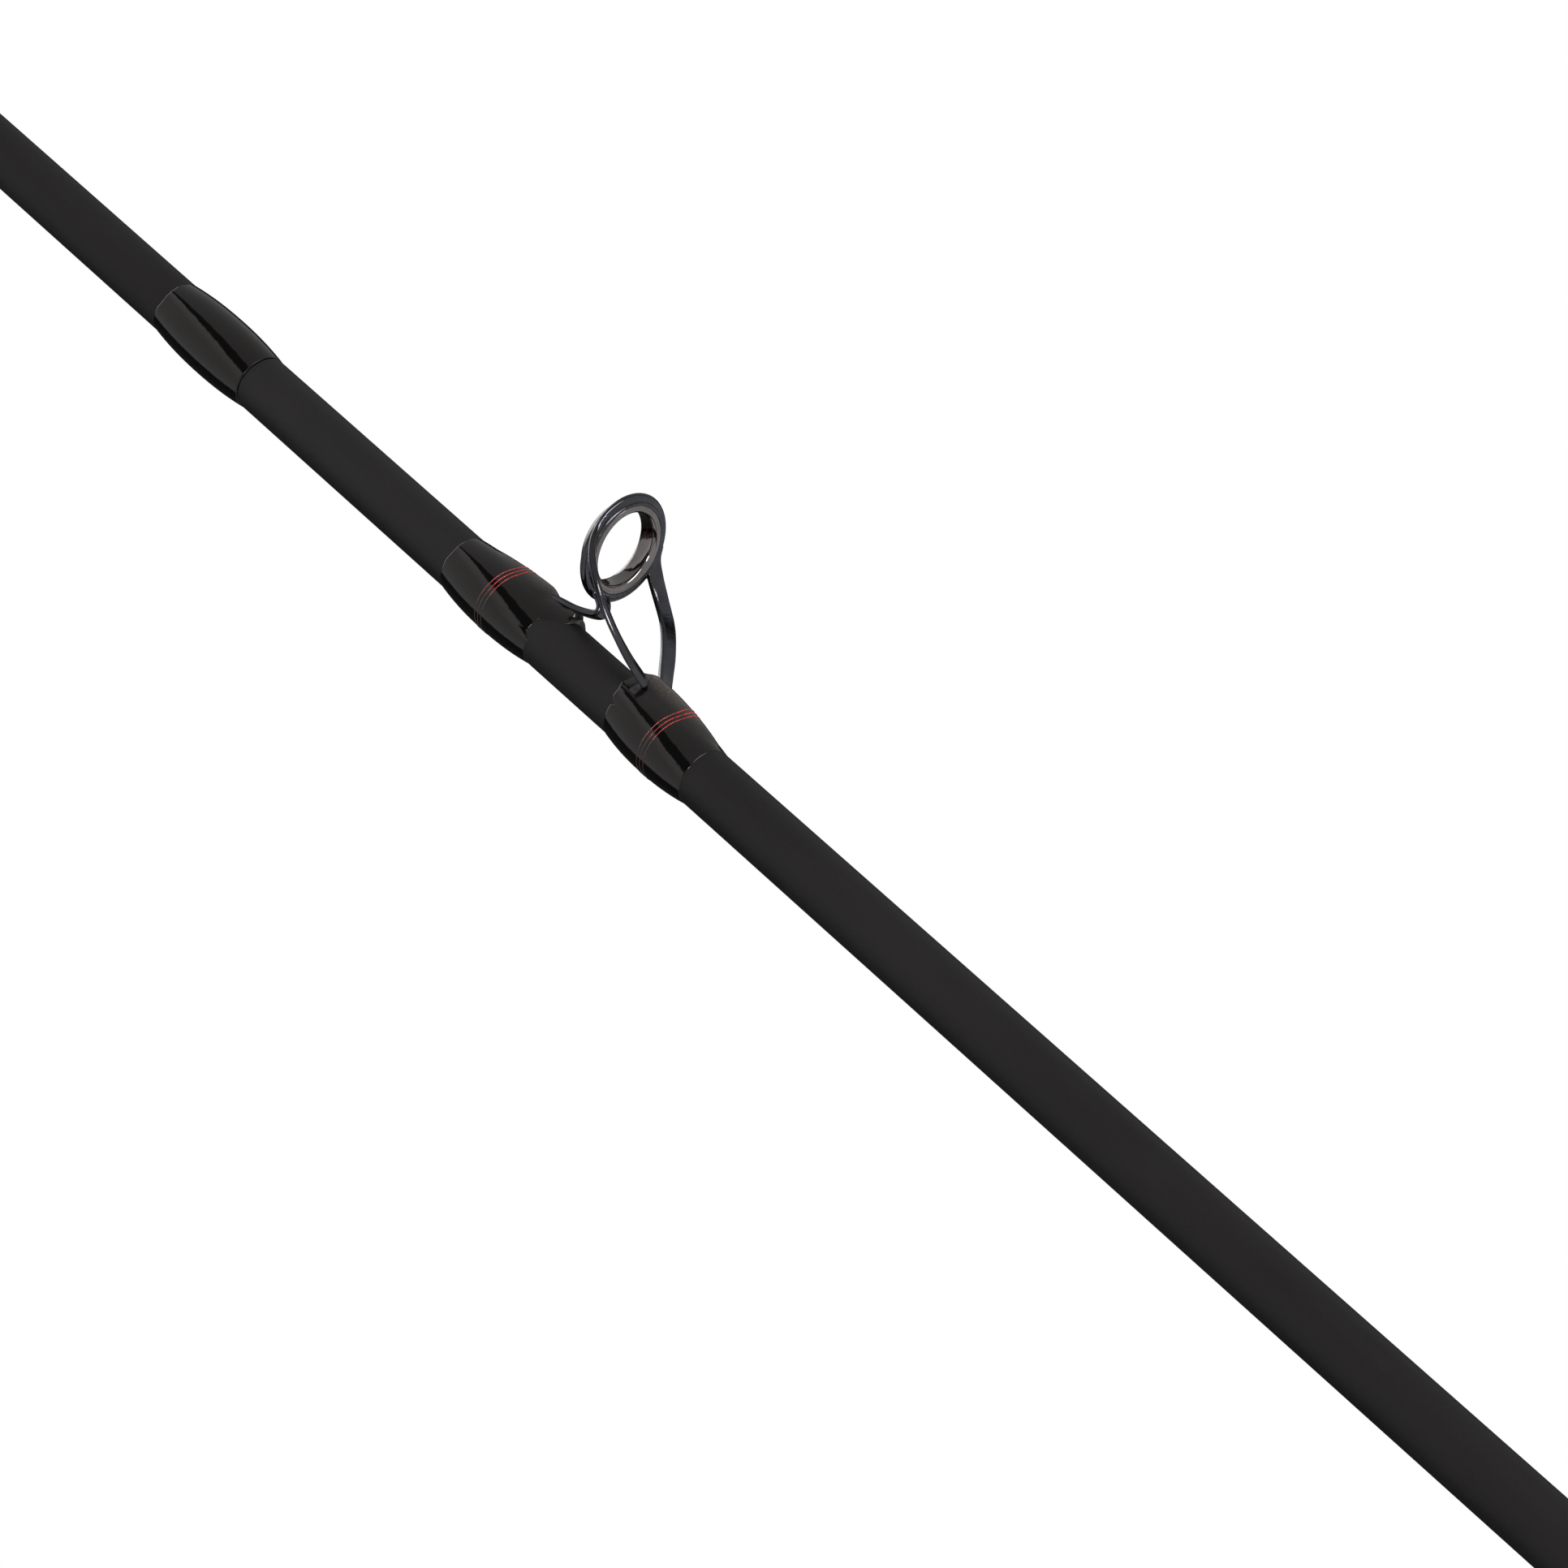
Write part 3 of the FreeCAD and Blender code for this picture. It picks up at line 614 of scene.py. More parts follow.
# ---- blank and ferrule ----
def build_blanks():
    """Both tubes. Each is closed inside, out of sight, a little way from its open ends."""
    edge = 0.12
    butt = lathe("butt_section_blank", soften(
        [(SPIGOT_R, BUTT_START + 2.0), (SPIGOT_R, BUTT_START), (butt_radius(BUTT_START), BUTT_START),
         (butt_radius(FERRULE_Z), FERRULE_Z), (SPIGOT_R, FERRULE_Z), (SPIGOT_R, FERRULE_Z - 3.0)], edge),
        BLANK, FINE_ROUND)
    settle(butt, BUTT, "blank", "butt_blank")

    socket_end = 1039.3
    tip = lathe("tip_section_blank", soften(
        [(SOCKET_R, socket_end), (SOCKET_R, TIP_START), (tip_radius(TIP_START), TIP_START),
         (KNEE_R, KNEE_Z), (TIP_END_R, TIP_END_Z)], edge), BLANK, FINE_ROUND)
    settle(tip, TIP, "blank", "tip_blank")


def build_spigot():
    bottom = 960.0
    top = 1031.3
    bore_r = 1.6
    bore_depth = 12.0
    chamfer = 0.6
    spigot = lathe("ferrule_spigot_piece", soften(
        [(bore_r, top - bore_depth), (bore_r, top), (SPIGOT_R - chamfer, top), (SPIGOT_R, top - chamfer),
         (SPIGOT_R, bottom)], 0.25), SPIGOT)
    settle(spigot, BUTT, "spigot", "ferrule_spigot")


# ---- handle ----
def build_butt_cap():
    cap_r = 15.0
    groove_r = 14.4
    groove_pitch = 2.7
    outline = [(2.0, 0.9), (8.6, 0.9), (9.2, 0.0), (11.5, 0.0), (14.0, 1.0), (cap_r, 3.5)]
    for i in range(5):
        z = 6.0 + groove_pitch * i
        outline += [(cap_r, z), (groove_r, z + 0.4), (groove_r, z + 1.2), (cap_r, z + 1.6)]
    outline += [(cap_r, 21.0), (14.0, 24.0), (5.0, 24.0)]
    settle(lathe("butt_cap_rubber", soften(outline, 0.45), RUBBER), BUTT, "rubber_cap", "butt_cap")


def build_grip(name, node, bore_r, low_end, profile, high_end, rows):
    """Foam sleeve whose profile runs between two flat ends, each given by its rim's (radius, z)."""
    bend = [tuple(p) for p in catmull(profile, rows)]
    outline = [(bore_r, low_end[1]), low_end, *bend, high_end, (bore_r, high_end[1])]
    settle(lathe(name, outline, FOAM), BUTT, "foam_grip", node)


def build_check(name, node, outline):
    """Turned ring that closes a grip."""
    settle(lathe(name, soften(outline, 0.15), ANODISED), BUTT, "red_anodised", node)


def build_grips():
    profile = [(13.9, 24.6), (14.4, 36), (13.9, 52), (13.5, 66), (13.5, 100), (13.5, 140), (13.5, 176),
               (12.9, 210), (12.2, 232), (11.9, 235.6)]
    build_grip("rear_grip_foam", "rear_grip", 6.0, (13.6, 24.05), profile, (11.6, 235.95), 90)
    outline = [(6.0, 236.0), (12.0, 236.0), (12.35, 236.5), (12.5, 237.2), (12.25, 237.5), (12.5, 237.8),
               (12.5, 238.6), (12.25, 238.9), (12.4, 239.3), (12.0, 240.0), (6.0, 240.0)]
    build_check("rear_check_ring", "rear_check", outline)

    profile = [(10.7, 374.4), (11.55, 380), (11.95, 386), (11.95, 394), (11.5, 404), (10.6, 415), (9.3, 426),
               (8.1, 435), (7.45, 439.7)]
    build_grip("foregrip_foam", "foregrip", 5.5, (10.4, 374.05), profile, (7.1, 439.95), 80)
    outline = [(5.2, 440.0), (7.4, 440.0), (7.55, 440.7), (7.5, 441.4), (6.9, 441.8), (6.9, 442.2),
               (6.5, 442.6), (6.25, 443.2), (5.9, 443.8), (5.5, 444.0), (5.0, 444.0)]
    build_check("fore_check_ring", "fore_check", outline)


def seat_trigger():
    """Finger hook of the seat, pillowed across its width."""
    half_width = 5.0
    inset = 1.3
    layers = 13
    outline = catmull([(-6.0, 311), (-12.0, 304), (-18.0, 296.5), (-25.0, 289.5), (-27.4, 285.0),
                       (-25.4, 281.6), (-20.5, 283.2), (-14.5, 285.2), (-10.5, 280.5), (-6.0, 270)], 90)
    ahead = np.roll(outline, -1, axis=0) - np.roll(outline, 1, axis=0)
    inward = np.stack([-ahead[:, 1], ahead[:, 0]], 1) / np.linalg.norm(ahead, axis=1)[:, None]
    if (outline.mean(0) - outline[0]).dot(inward[0]) < 0:
        inward = -inward
    verts = []
    for i in range(layers):
        a = math.pi * (i / (layers - 1) - 0.5)
        y = half_width * math.sin(a)
        shrink = inset * (1 - math.cos(a) ** 0.6) if i not in (0, layers - 1) else inset
        for point, normal in zip(outline, inward):
            x, z = point + normal * shrink
            verts.append((x, y, z))
    return verts, capped_grid_faces(layers, len(outline))


def seat_barrel():
    """Barrel of the seat between its collars, with the reel's flat on the +X side and the nut's thread."""
    barrel_r = 9.0
    bore_r = 7.0
    flat_x = 8.0
    thread_start = 306.0
    thread_end = 366.0
    run_out = 1.5
    pitch = 2.5
    depth = 0.7
    rows_a_turn = 14
    cols = 240
    theta = around(cols)
    sideways = 0.2                  # cosine from +X below which the flat doesn't cut
    facing = np.maximum(np.cos(theta), sideways)
    flat_r = np.where(facing > sideways, flat_x / facing, np.inf)

    lower = soften([(bore_r, 240), (11.2, 240), (11.8, 241), (11.6, 247), (10.8, 248), (barrel_r, 248.02),
                    (barrel_r, 250)], 0.3)
    upper = soften([(barrel_r, 367.6), (10.6, 368.6), (10.6, 374), (bore_r, 374)], 0.3)
    steps = int((thread_end - thread_start) / pitch * rows_a_turn)
    stations = [250.3, 252, 280, 300, *np.linspace(thread_start - 1, thread_end + 1, steps)]

    rows = [(np.full(cols, r), z) for r, z in lower]
    for z in stations:
        phase = (z / pitch - theta / TAU) % 1.0
        notch = smoothstep((0.34 - np.abs(phase - 0.5)) / 0.2)
        share = smoothstep((z - thread_start) / run_out) * smoothstep((thread_end - z) / run_out)
        rows.append((np.minimum(barrel_r - depth * notch * share, flat_r), z))
    rows += [(np.full(cols, r), z) for r, z in upper]
    return polar_data(rows)


def build_seat():
    seat = make_object("reel_seat_moulding", *join_data(seat_barrel(), seat_trigger()), SEAT, 35)
    settle(seat, BUTT, "seat_plastic", "reel_seat_body")


def hull_radius(theta, big_r, small_r, distance):
    """Polar radius of the belt round a circle on the axis and a smaller one at +X."""
    share = np.linspace(0, 1, 25)
    centre = np.asarray(distance)[..., None] * share
    radius = np.asarray(big_r)[..., None] + np.asarray(small_r - big_r)[..., None] * share
    across = np.sin(theta)[..., None] * centre
    inside = radius ** 2 - across ** 2
    reach = np.cos(theta)[..., None] * centre + np.sqrt(np.maximum(inside, 0))
    return np.where(inside >= 0, reach, 0).max(-1)


def hood_rows(bottom, top, inner_r, open_at_top):
    """Rows of a hood: up its outside, over the open rim, down the pocket and out through the end wall."""
    cols = 160
    theta = around(cols)
    wall = 1.4
    dome_r = 7.4
    dome_x = 7.6
    end_wall = 1.6
    edge = 0.35
    height = top - bottom

    def belt(offset):
        return hull_radius(theta, inner_r + wall - offset, dome_r - offset, dome_x)

    bore = np.full(cols, inner_r)
    rows = [(bore, 0.0), (belt(edge), 0.0), (belt(edge * 0.3), edge * 0.3), (belt(0), edge),
            (belt(0), height - edge), (belt(edge * 0.3), height - edge * 0.3), (belt(edge), height),
            (belt(wall - 0.2), height), (belt(wall), height - 0.3), (belt(wall), end_wall), (bore, end_wall)]
    if not open_at_top:
        rows = [(r, height - z) for r, z in rows]
    return [(r, z + bottom) for r, z in rows]


def build_hoods():
    fixed = polar_piece("fixed_hood_shell", hood_rows(248.0, 268.0, 9.02, True), HOOD)
    settle(fixed, BUTT, "hood_metal", "fixed_hood")

    neck_r = 10.0
    lip_r = 10.5
    neck = soften([(NUT_BORE_R, 344.6), (neck_r, 344.6), (neck_r, 347.9), (lip_r, 348.2), (lip_r, 348.9),
                   (neck_r, 349.2), (NUT_BORE_R, 349.2)], 0.15)
    shell = polar_data(hood_rows(326.0, 346.0, NUT_BORE_R, False))
    data = join_data(shell, lathe_data(neck, 160, True))
    settle(make_object("sliding_hood_shell", *data, HOOD), "sliding_hood", "hood_metal", "sliding_hood")


def flute_radius(theta):
    """Radius to which the nut's flutes cut it, without limit between them."""
    flutes = 20
    flute_r = 1.0
    flute_at = 12.7
    phase = (theta * flutes / TAU + 0.5) % 1.0 - 0.5
    delta = phase * TAU / flutes
    inside = flute_r ** 2 - (flute_at * np.sin(delta)) ** 2
    return np.where(inside > 0, flute_at * np.cos(delta) - np.sqrt(np.maximum(inside, 0)), np.inf)


def build_lock_nut():
    """Nut with a skirt round the hood's neck, and flutes that start above a plain rim."""
    bottom = 346.15
    top = bottom + 12
    skirt_r = 10.1
    outer_r = 12.2
    plain = 1.9
    shoulder = bottom + 1.5
    cut = flute_radius(around(400))
    outline = soften([(NUT_BORE_R, shoulder), (skirt_r, shoulder), (skirt_r, bottom), (11.6, bottom),
                      (outer_r, bottom + 0.8), (outer_r, bottom + 2.0)], 0.2)
    outline += soften([(outer_r, bottom + 2.4), (outer_r, bottom + 10), (10.8, top), (NUT_BORE_R, top)], 0.3)
    rows = []
    for r, z in outline:
        share = smoothstep((z - bottom - plain) / 0.5)
        rows.append((r + (np.minimum(r, cut) - r) * share, z))
    settle(polar_piece("lock_nut_ring", rows, NUT, 35), "lock_nut", "nut_metal", "lock_nut")


def paint_arbors():
    """The arbors inside the seat keep their CAD shape."""
    arbors = frame["nodes"]["seat_arbors"].data
    arbors.materials.clear()
    arbors.materials.append(ARBOR)


# ---- wraps ----
def bulge(share, height):
    """Epoxy over the thread: full in the middle, running out to nothing at both ends."""
    return height * (1 - np.abs(2 * share - 1) ** 2.2)


def waves(theta, size, seed):
    """Slow unevenness round the rod, the same each time."""
    return size * (0.5 * np.sin(2 * theta + 1.7 * seed) + 0.3 * np.sin(5 * theta + 2.9 * seed)
                   + 0.2 * np.sin(11 * theta + 0.7 * seed))


def sleeve_shares(rows, edge):
    """Shares along a sleeve from 0 to 1, close together at its rounded ends."""
    ends = edge * np.array([0, 0.12, 0.4, 1.0])
    return np.concatenate([ends, np.linspace(edge * 1.6, 1 - edge * 1.6, rows), 1 - ends[::-1]])


def build_sleeve(name, body, nodes, low, high, surface, blank_r, rows):
    """Epoxy sleeve between two wavy edges, which stands for the given CAD nodes.

    surface(share, z) gives the radius where the epoxy is full, and the ends curl down into the blank.
    """
    curl = CURL_LENGTH / float(np.mean(high - low))
    grid = []
    for share in sleeve_shares(rows, curl):
        z = low + (high - low) * share
        close = min(share, 1 - share) / curl
        rise = math.sqrt(max(0.0, 1 - (1 - min(1.0, close)) ** 2))
        base = blank_r(z) - EDGE_SINK
        grid.append((base + (surface(share, z) + LIP - base) * rise, z))
    grid.append((blank_r(high) - INSIDE_SINK, high))
    grid.append((blank_r(low) - INSIDE_SINK, low))
    settle(polar_piece(name, grid, EPOXY, 60), body, "epoxy", *nodes)


def trim_line(theta, z, surface, section_r):
    """Verts and faces of one turn of trim thread, a little more than half sunk in the epoxy."""
    sides = 8
    radius = surface(z) - 0.3 * section_r
    points = []
    for i in range(sides):
        a = TAU * i / sides
        r = radius + section_r * math.cos(a)
        points.extend(zip(r * np.cos(theta), r * np.sin(theta), z + section_r * math.sin(a)))
    return points, grid_faces(sides, len(theta), True)


def from_guides(theta):
    """Signed angle round the rod from +X, the side of the guides."""
    return np.where(theta > math.pi, theta - TAU, theta)


def edge_line(theta, places):
    """Station of a coat's edge round the rod, from (degrees away from the guides' side, station) pairs."""
    return np.interp(np.abs(np.degrees(from_guides(theta))), *zip(*places))


def bell(x, width):
    return np.exp(-(x / width) ** 2)


class Guide:
    """One double-foot guide, placed by the record's bore mount and scaled from the first."""

    def __init__(self, number, body, blank_r):
        mount = MOUNTS[f"guide_{number}_bore"]
        self.number = number
        self.body = body
        self.blank_r = blank_r
        self.k = mount["dims"]["r_mm"] / REFERENCE_BORE_R
        self.foot_k = self.k ** 0.6
        self.coat_k = self.k ** 0.5
        self.z = mount["pos_m"][2] / MM
        self.base_r = float(blank_r(self.z))

    def at(self, x, y, z):
        """From the reference guide's coordinates to the rod's."""
        return (self.base_r + (x - STRIPPER_R) * self.k, y * self.k, self.z + z * self.k)

    def on_ring(self, x, y, z):
        """From the ring's own frame at this guide's size, z along its axis, to the rod's coordinates."""
        x, y, z = x / self.k, y / self.k, z / self.k
        sin, cos = math.sin(RING_LEAN), math.cos(RING_LEAN)
        return self.at(RING_HEIGHT + x * cos - z * sin, y, x * sin + z * cos)

    def leg(self, side):
        """Leg from the ring to the rear foot. It starts narrow and lies flat across the rod at its end."""
        count = 40
        narrow_until = 0.16
        lie_from = 0.72
        points = catmull([self.at(x, y * side, z) for x, y, z in LEG_PATH], count)
        slanted = np.array((0, 0.8 * side, -0.6))
        flat = np.array((0, side, 0))
        sections = []
        sides = []
        for share in shares(count):
            lying = max(0.0, share - lie_from) / (1 - lie_from)
            narrowing = 0.42 * max(0.0, 1 - share / narrow_until)
            width = LEG_WIDTH * (1 - narrowing)
            sections.append(rounded_section(width * self.k, LEG_THICK * self.k, 0.36 * self.k))
            sides.append(slanted * (1 - lying) + flat * lying)
        return sweep(points, sections, sides)

    def tab(self):
        """Strap from the bottom of the ring to the front foot, wider where it leaves the ring."""
        count = 36
        wide_until = 0.2
        points = catmull([self.at(x, 0, z) for x, z in TAB_PATH], count)
        sections = []
        for share in shares(count):
            width = TAB_WIDTH * (1 + 0.5 * max(0.0, 1 - share / wide_until) ** 1.5)
            sections.append(rounded_section(width * self.k, TAB_THICK * self.k, 0.4 * self.k))
        return sweep(points, sections, [(0, 1, 0)] * count)

    def foot(self, root, length):
        """Half-round foot lying on the blank, from its root to its thin end."""
        count = 12
        end_height = 0.12
        points = []
        for share in shares(count):
            z = self.z + root * self.k + length * self.foot_k * share
            top = FOOT_HEIGHT * self.k * (1 - share) + end_height * share
            points.append((float(self.blank_r(z)) + top - FOOT_R * self.k, 0, z))
        sections = [circle_section(FOOT_R * self.k, 20)] * count
        return sweep(np.array(points), sections, [(0, 1, 0)] * count)

    def rim(self, grow, cols):
        """Rim of the frame: a rounded bead outside, a groove and a step up to the insert."""
        inside = RIM_INNER_R
        s = FRAME_RING_SHIFT
        bead = catmull([(6.60, s - 0.80), (6.70, s - 0.86), (6.84, s - 0.83), (6.94, s - 0.70),
                        (7.02, s - 0.56), (7.14, s - 0.53), (7.35, s - 0.58), (7.60, s - 0.54),
                        (7.82, s - 0.40), (7.95, s - 0.20), (8.0, s), (7.95, s + 0.20), (7.80, s + 0.40),
                        (7.55, s + 0.54), (7.30, s + 0.58), (7.05, s + 0.56), (6.95, s + 0.66),
                        (6.85, s + 0.82), (6.70, s + 0.90)], 60)
        outline = [(inside, s - 0.80), *bead, (inside, s + 0.90)]
        outline = [((r + grow) * self.k, z * self.k) for r, z in outline]
        return lathe_data(outline, cols, True, self.on_ring)

    def build_frame(self):
        """Ring, legs, tab and feet melted together, with the rim laid over them again in full sharpness."""
        name = f"guide_{self.number}_metal"
        parts = [self.rim(0.0, 96), self.leg(1), self.leg(-1), self.tab(), self.foot(FRONT_ROOT, FRONT_FOOT),
                 self.foot(REAR_ROOT, REAR_FOOT)]
        body = make_object(name, *join_data(*parts), GUIDE_METAL)
        if self.number == 1:
            fuse(body, 0.10, 10)
        else:
            fuse(body, max(0.09, 0.15 * self.k), 6)
        clean = make_object(name + "_rim", *self.rim(0.02, 192), GUIDE_METAL)
        bm = bmesh.new()
        bm.from_mesh(body.data)
        bm.from_mesh(clean.data)
        bm.to_mesh(body.data)
        bm.free()
        bpy.data.objects.remove(clean)
        shade(body, 60)
        settle(body, self.body, "guide_metal", f"guide_{self.number}_frame")

    def build_insert(self):
        """Insert with a longer lip on the tip's side. Its bore is narrowest in the middle."""
        upper = catmull([(5.25, 0.0), (5.27, 0.6), (5.32, 1.1), (5.42, 1.45), (5.60, 1.66), (5.80, 1.68),
                         (6.02, 1.56), (6.28, 1.32), (6.52, 1.08), (6.62, 0.8)], 44)
        lower = catmull([(6.62, -0.8), (6.61, -1.0), (6.50, -1.25), (6.30, -1.40), (6.05, -1.45),
                         (5.78, -1.37), (5.54, -1.17), (5.37, -0.9), (5.28, -0.5), (5.25, -0.1)], 44)
        outline = [(r * self.k, z * self.k) for r, z in [*upper, *lower]]
        data = lathe_data(outline, 192, True, self.on_ring)
        ring = make_object(f"guide_{self.number}_insert", *data, INSERT, 60)
        settle(ring, self.body, "ring_insert", f"guide_{self.number}_ring")

    def over_foot(self, theta, share, z, rise):
        """Radius of the epoxy over thread that climbs a foot by the given rise, in the reference size."""
        near = self.blank_r(z)
        foot_r = FOOT_R * self.k
        base = hull_radius(theta, near, foot_r, np.maximum(near + rise * self.k - foot_r, near - foot_r))
        return base + bulge(share, COAT_BULGE) * self.coat_k

    def front_surface(self, theta, share, z):
        """Epoxy over the front foot. It thins out under the tab, except for a web at its edge."""
        slope = 0.08
        crest = 1.4
        web_height = 0.75
        hollow_depth = 0.62
        away = from_guides(theta)
        local = (z - self.z) / self.k
        rise = np.clip(slope * (FRONT_END - 2.8 - (z - self.z) / self.foot_k), 0, crest)
        web = web_height * bell(away, 0.24) * smoothstep((local + 1.9) / 0.7)
        web = web * smoothstep((0.8 - local) / 1.6)
        hollow = hollow_depth * bell(away, HOLLOW_WIDTH) * smoothstep((5.4 - local) / 2.6)
        return self.over_foot(theta, share, z, rise) + (web - hollow) * self.k

    def rear_surface(self, theta, share, z):
        """Epoxy over the rear foot. It climbs the ends of the legs and thins out between them."""
        slope = 0.104
        crest = 1.7
        climb_height = 0.28
        hollow_depth = 0.55
        leg_angle = 0.36
        away = from_guides(theta)
        local = (z - self.z) / self.k
        rise = np.clip(slope * ((z - self.z) / self.foot_k - REAR_END - 1.0), 0, crest)
        climb = climb_height * bell(np.abs(away) - leg_angle, 0.24) * bell(local + 18.8, 1.0)
        hollow = hollow_depth * bell(away, HOLLOW_WIDTH) * smoothstep((local + 17.9) / 1.8)
        return self.over_foot(theta, share, z, rise) + (climb - hollow) * self.k

    def front_edges(self, theta):
        low = self.z + edge_line(theta, FRONT_LOW_EDGE) * self.k + waves(theta, 0.12, self.number)
        high = self.z + FRONT_END * self.foot_k + waves(theta, 0.16, self.number + 0.5)
        return low, high

    def rear_edges(self, theta):
        low = self.z + REAR_ROOT * self.k + (REAR_END - REAR_ROOT) * self.foot_k
        low = low + waves(theta, 0.16, self.number + 0.75)
        high = self.z + edge_line(theta, REAR_HIGH_EDGE) * self.k + waves(theta, 0.14, self.number + 0.25)
        return low, high

    def wrap_nodes(self, foot):
        """CAD nodes that a coat stands for. From the second guide on, one pair of them covers both feet."""
        if self.number == 1:
            return f"guide_1_{foot}_thread", f"guide_1_{foot}_coat"
        if foot == "front":
            return f"guide_{self.number}_thread", f"guide_{self.number}_coat"
        return ()

    def build_coat(self, foot, surface, theta, low, high):
        build_sleeve(f"guide_{self.number}_{foot}_finish", self.body, self.wrap_nodes(foot), low, high,
                     lambda share, z: surface(theta, share, z), self.blank_r, 110 if self.number == 1 else 56)

    def build_trim(self, foot, surface, theta, low, high, middle):
        """Three turns of trim thread round one coat."""
        def skin(z):
            return surface(theta, (z - low) / (high - low), z) + LIP

        turns = []
        for i in (-1, 0, 1):
            z = self.z + (middle + i * TRIM_PITCH) * self.foot_k + waves(theta, 0.03, i)
            turns.append(trim_line(theta, z, skin, TRIM_R * self.foot_k))
        piece = make_object(f"guide_{self.number}_{foot}_trim_lines", *join_data(*turns), TRIM, 60)
        trim_nodes = (f"guide_1_{foot}_trim",) if self.number == 1 else ()
        settle(piece, self.body, "trim_thread", *trim_nodes)

    def build(self):
        self.build_frame()
        self.build_insert()
        theta = around(256 if self.number == 1 else 128)
        front = ("front", self.front_surface, theta, *self.front_edges(theta))
        rear = ("rear", self.rear_surface, theta, *self.rear_edges(theta))
        self.build_coat(*front)
        self.build_coat(*rear)
        self.build_trim(*front, FRONT_TRIM)
        self.build_trim(*rear, REAR_TRIM)


def build_ferrule_wrap():
    theta = around(256)
    low = TIP_START + np.maximum(0, waves(theta, 0.12, 3.1))
    high = 986.0 + waves(theta, 0.2, 4.2)

    def surface(share, z):
        return tip_radius(z) + bulge(share, 0.65)

    nodes = ("ferrule_coat", "ferrule_wrap")
    build_sleeve("ferrule_finish", TIP, nodes, low, high, surface, tip_radius, 110)


# ---- hook keeper and tip-top ----
def build_keeper():
    """Wire loop whose two feet lie on the blank, each under a coat."""
    centre_z = 468.0
    wire_r = 0.6
    half_gap = 3.4
    riser = 2.6
    bend = 1.2
    foot = 8.0
    corner = half_gap + bend
    base_r = butt_radius(centre_z - corner - foot) + wire_r
    quarter = np.linspace(0, math.pi / 2, 7)
    half = np.linspace(0, math.pi, 25)
    path = [(0, -corner - foot), (0, -corner)]
    path += [(bend * (1 - math.cos(a)), -corner + bend * math.sin(a)) for a in quarter[1:]]
    path += [(riser + half_gap * math.sin(a), -half_gap * math.cos(a)) for a in half]
    path += [(bend * (1 - math.sin(a)), corner - bend * math.cos(a)) for a in quarter]
    path += [(0, corner + foot)]
    points = np.array([(base_r + lift, 0, centre_z + z) for lift, z in path])
    spread = [points[0]]
    for a, b in zip(points, points[1:]):
        pieces = max(1, int(np.linalg.norm(b - a) / 0.5))
        spread.extend(a + (b - a) * i / pieces for i in range(1, pieces + 1))
    sections = [circle_section(wire_r, 24)] * len(spread)
    data = sweep(np.array(spread), sections, [(0, 1, 0)] * len(spread))
    wire = make_object("hook_keeper_wire", *data, GUIDE_METAL, 60)
    settle(wire, BUTT, "guide_metal", "hook_keeper")

    theta = around(128)
    cover_r = wire_r + 0.1

    def skin(share, z):
        near = butt_radius(z)
        return hull_radius(theta, near, cover_r, near + 2 * wire_r + 0.1 - cover_r) + bulge(share, 0.55)

    for side, end_name, nodes in ((-1, "lower", ("keeper_wrap", "keeper_coat")), (1, "upper", ())):
        ends = sorted((centre_z + side * (corner - 0.1), centre_z + side * (corner + foot + 1.8)))
        low = ends[0] + waves(theta, 0.12, side)
        high = ends[1] + waves(theta, 0.12, side + 3)
        build_sleeve(f"keeper_finish_{end_name}", BUTT, nodes, low, high, skin, butt_radius, 50)


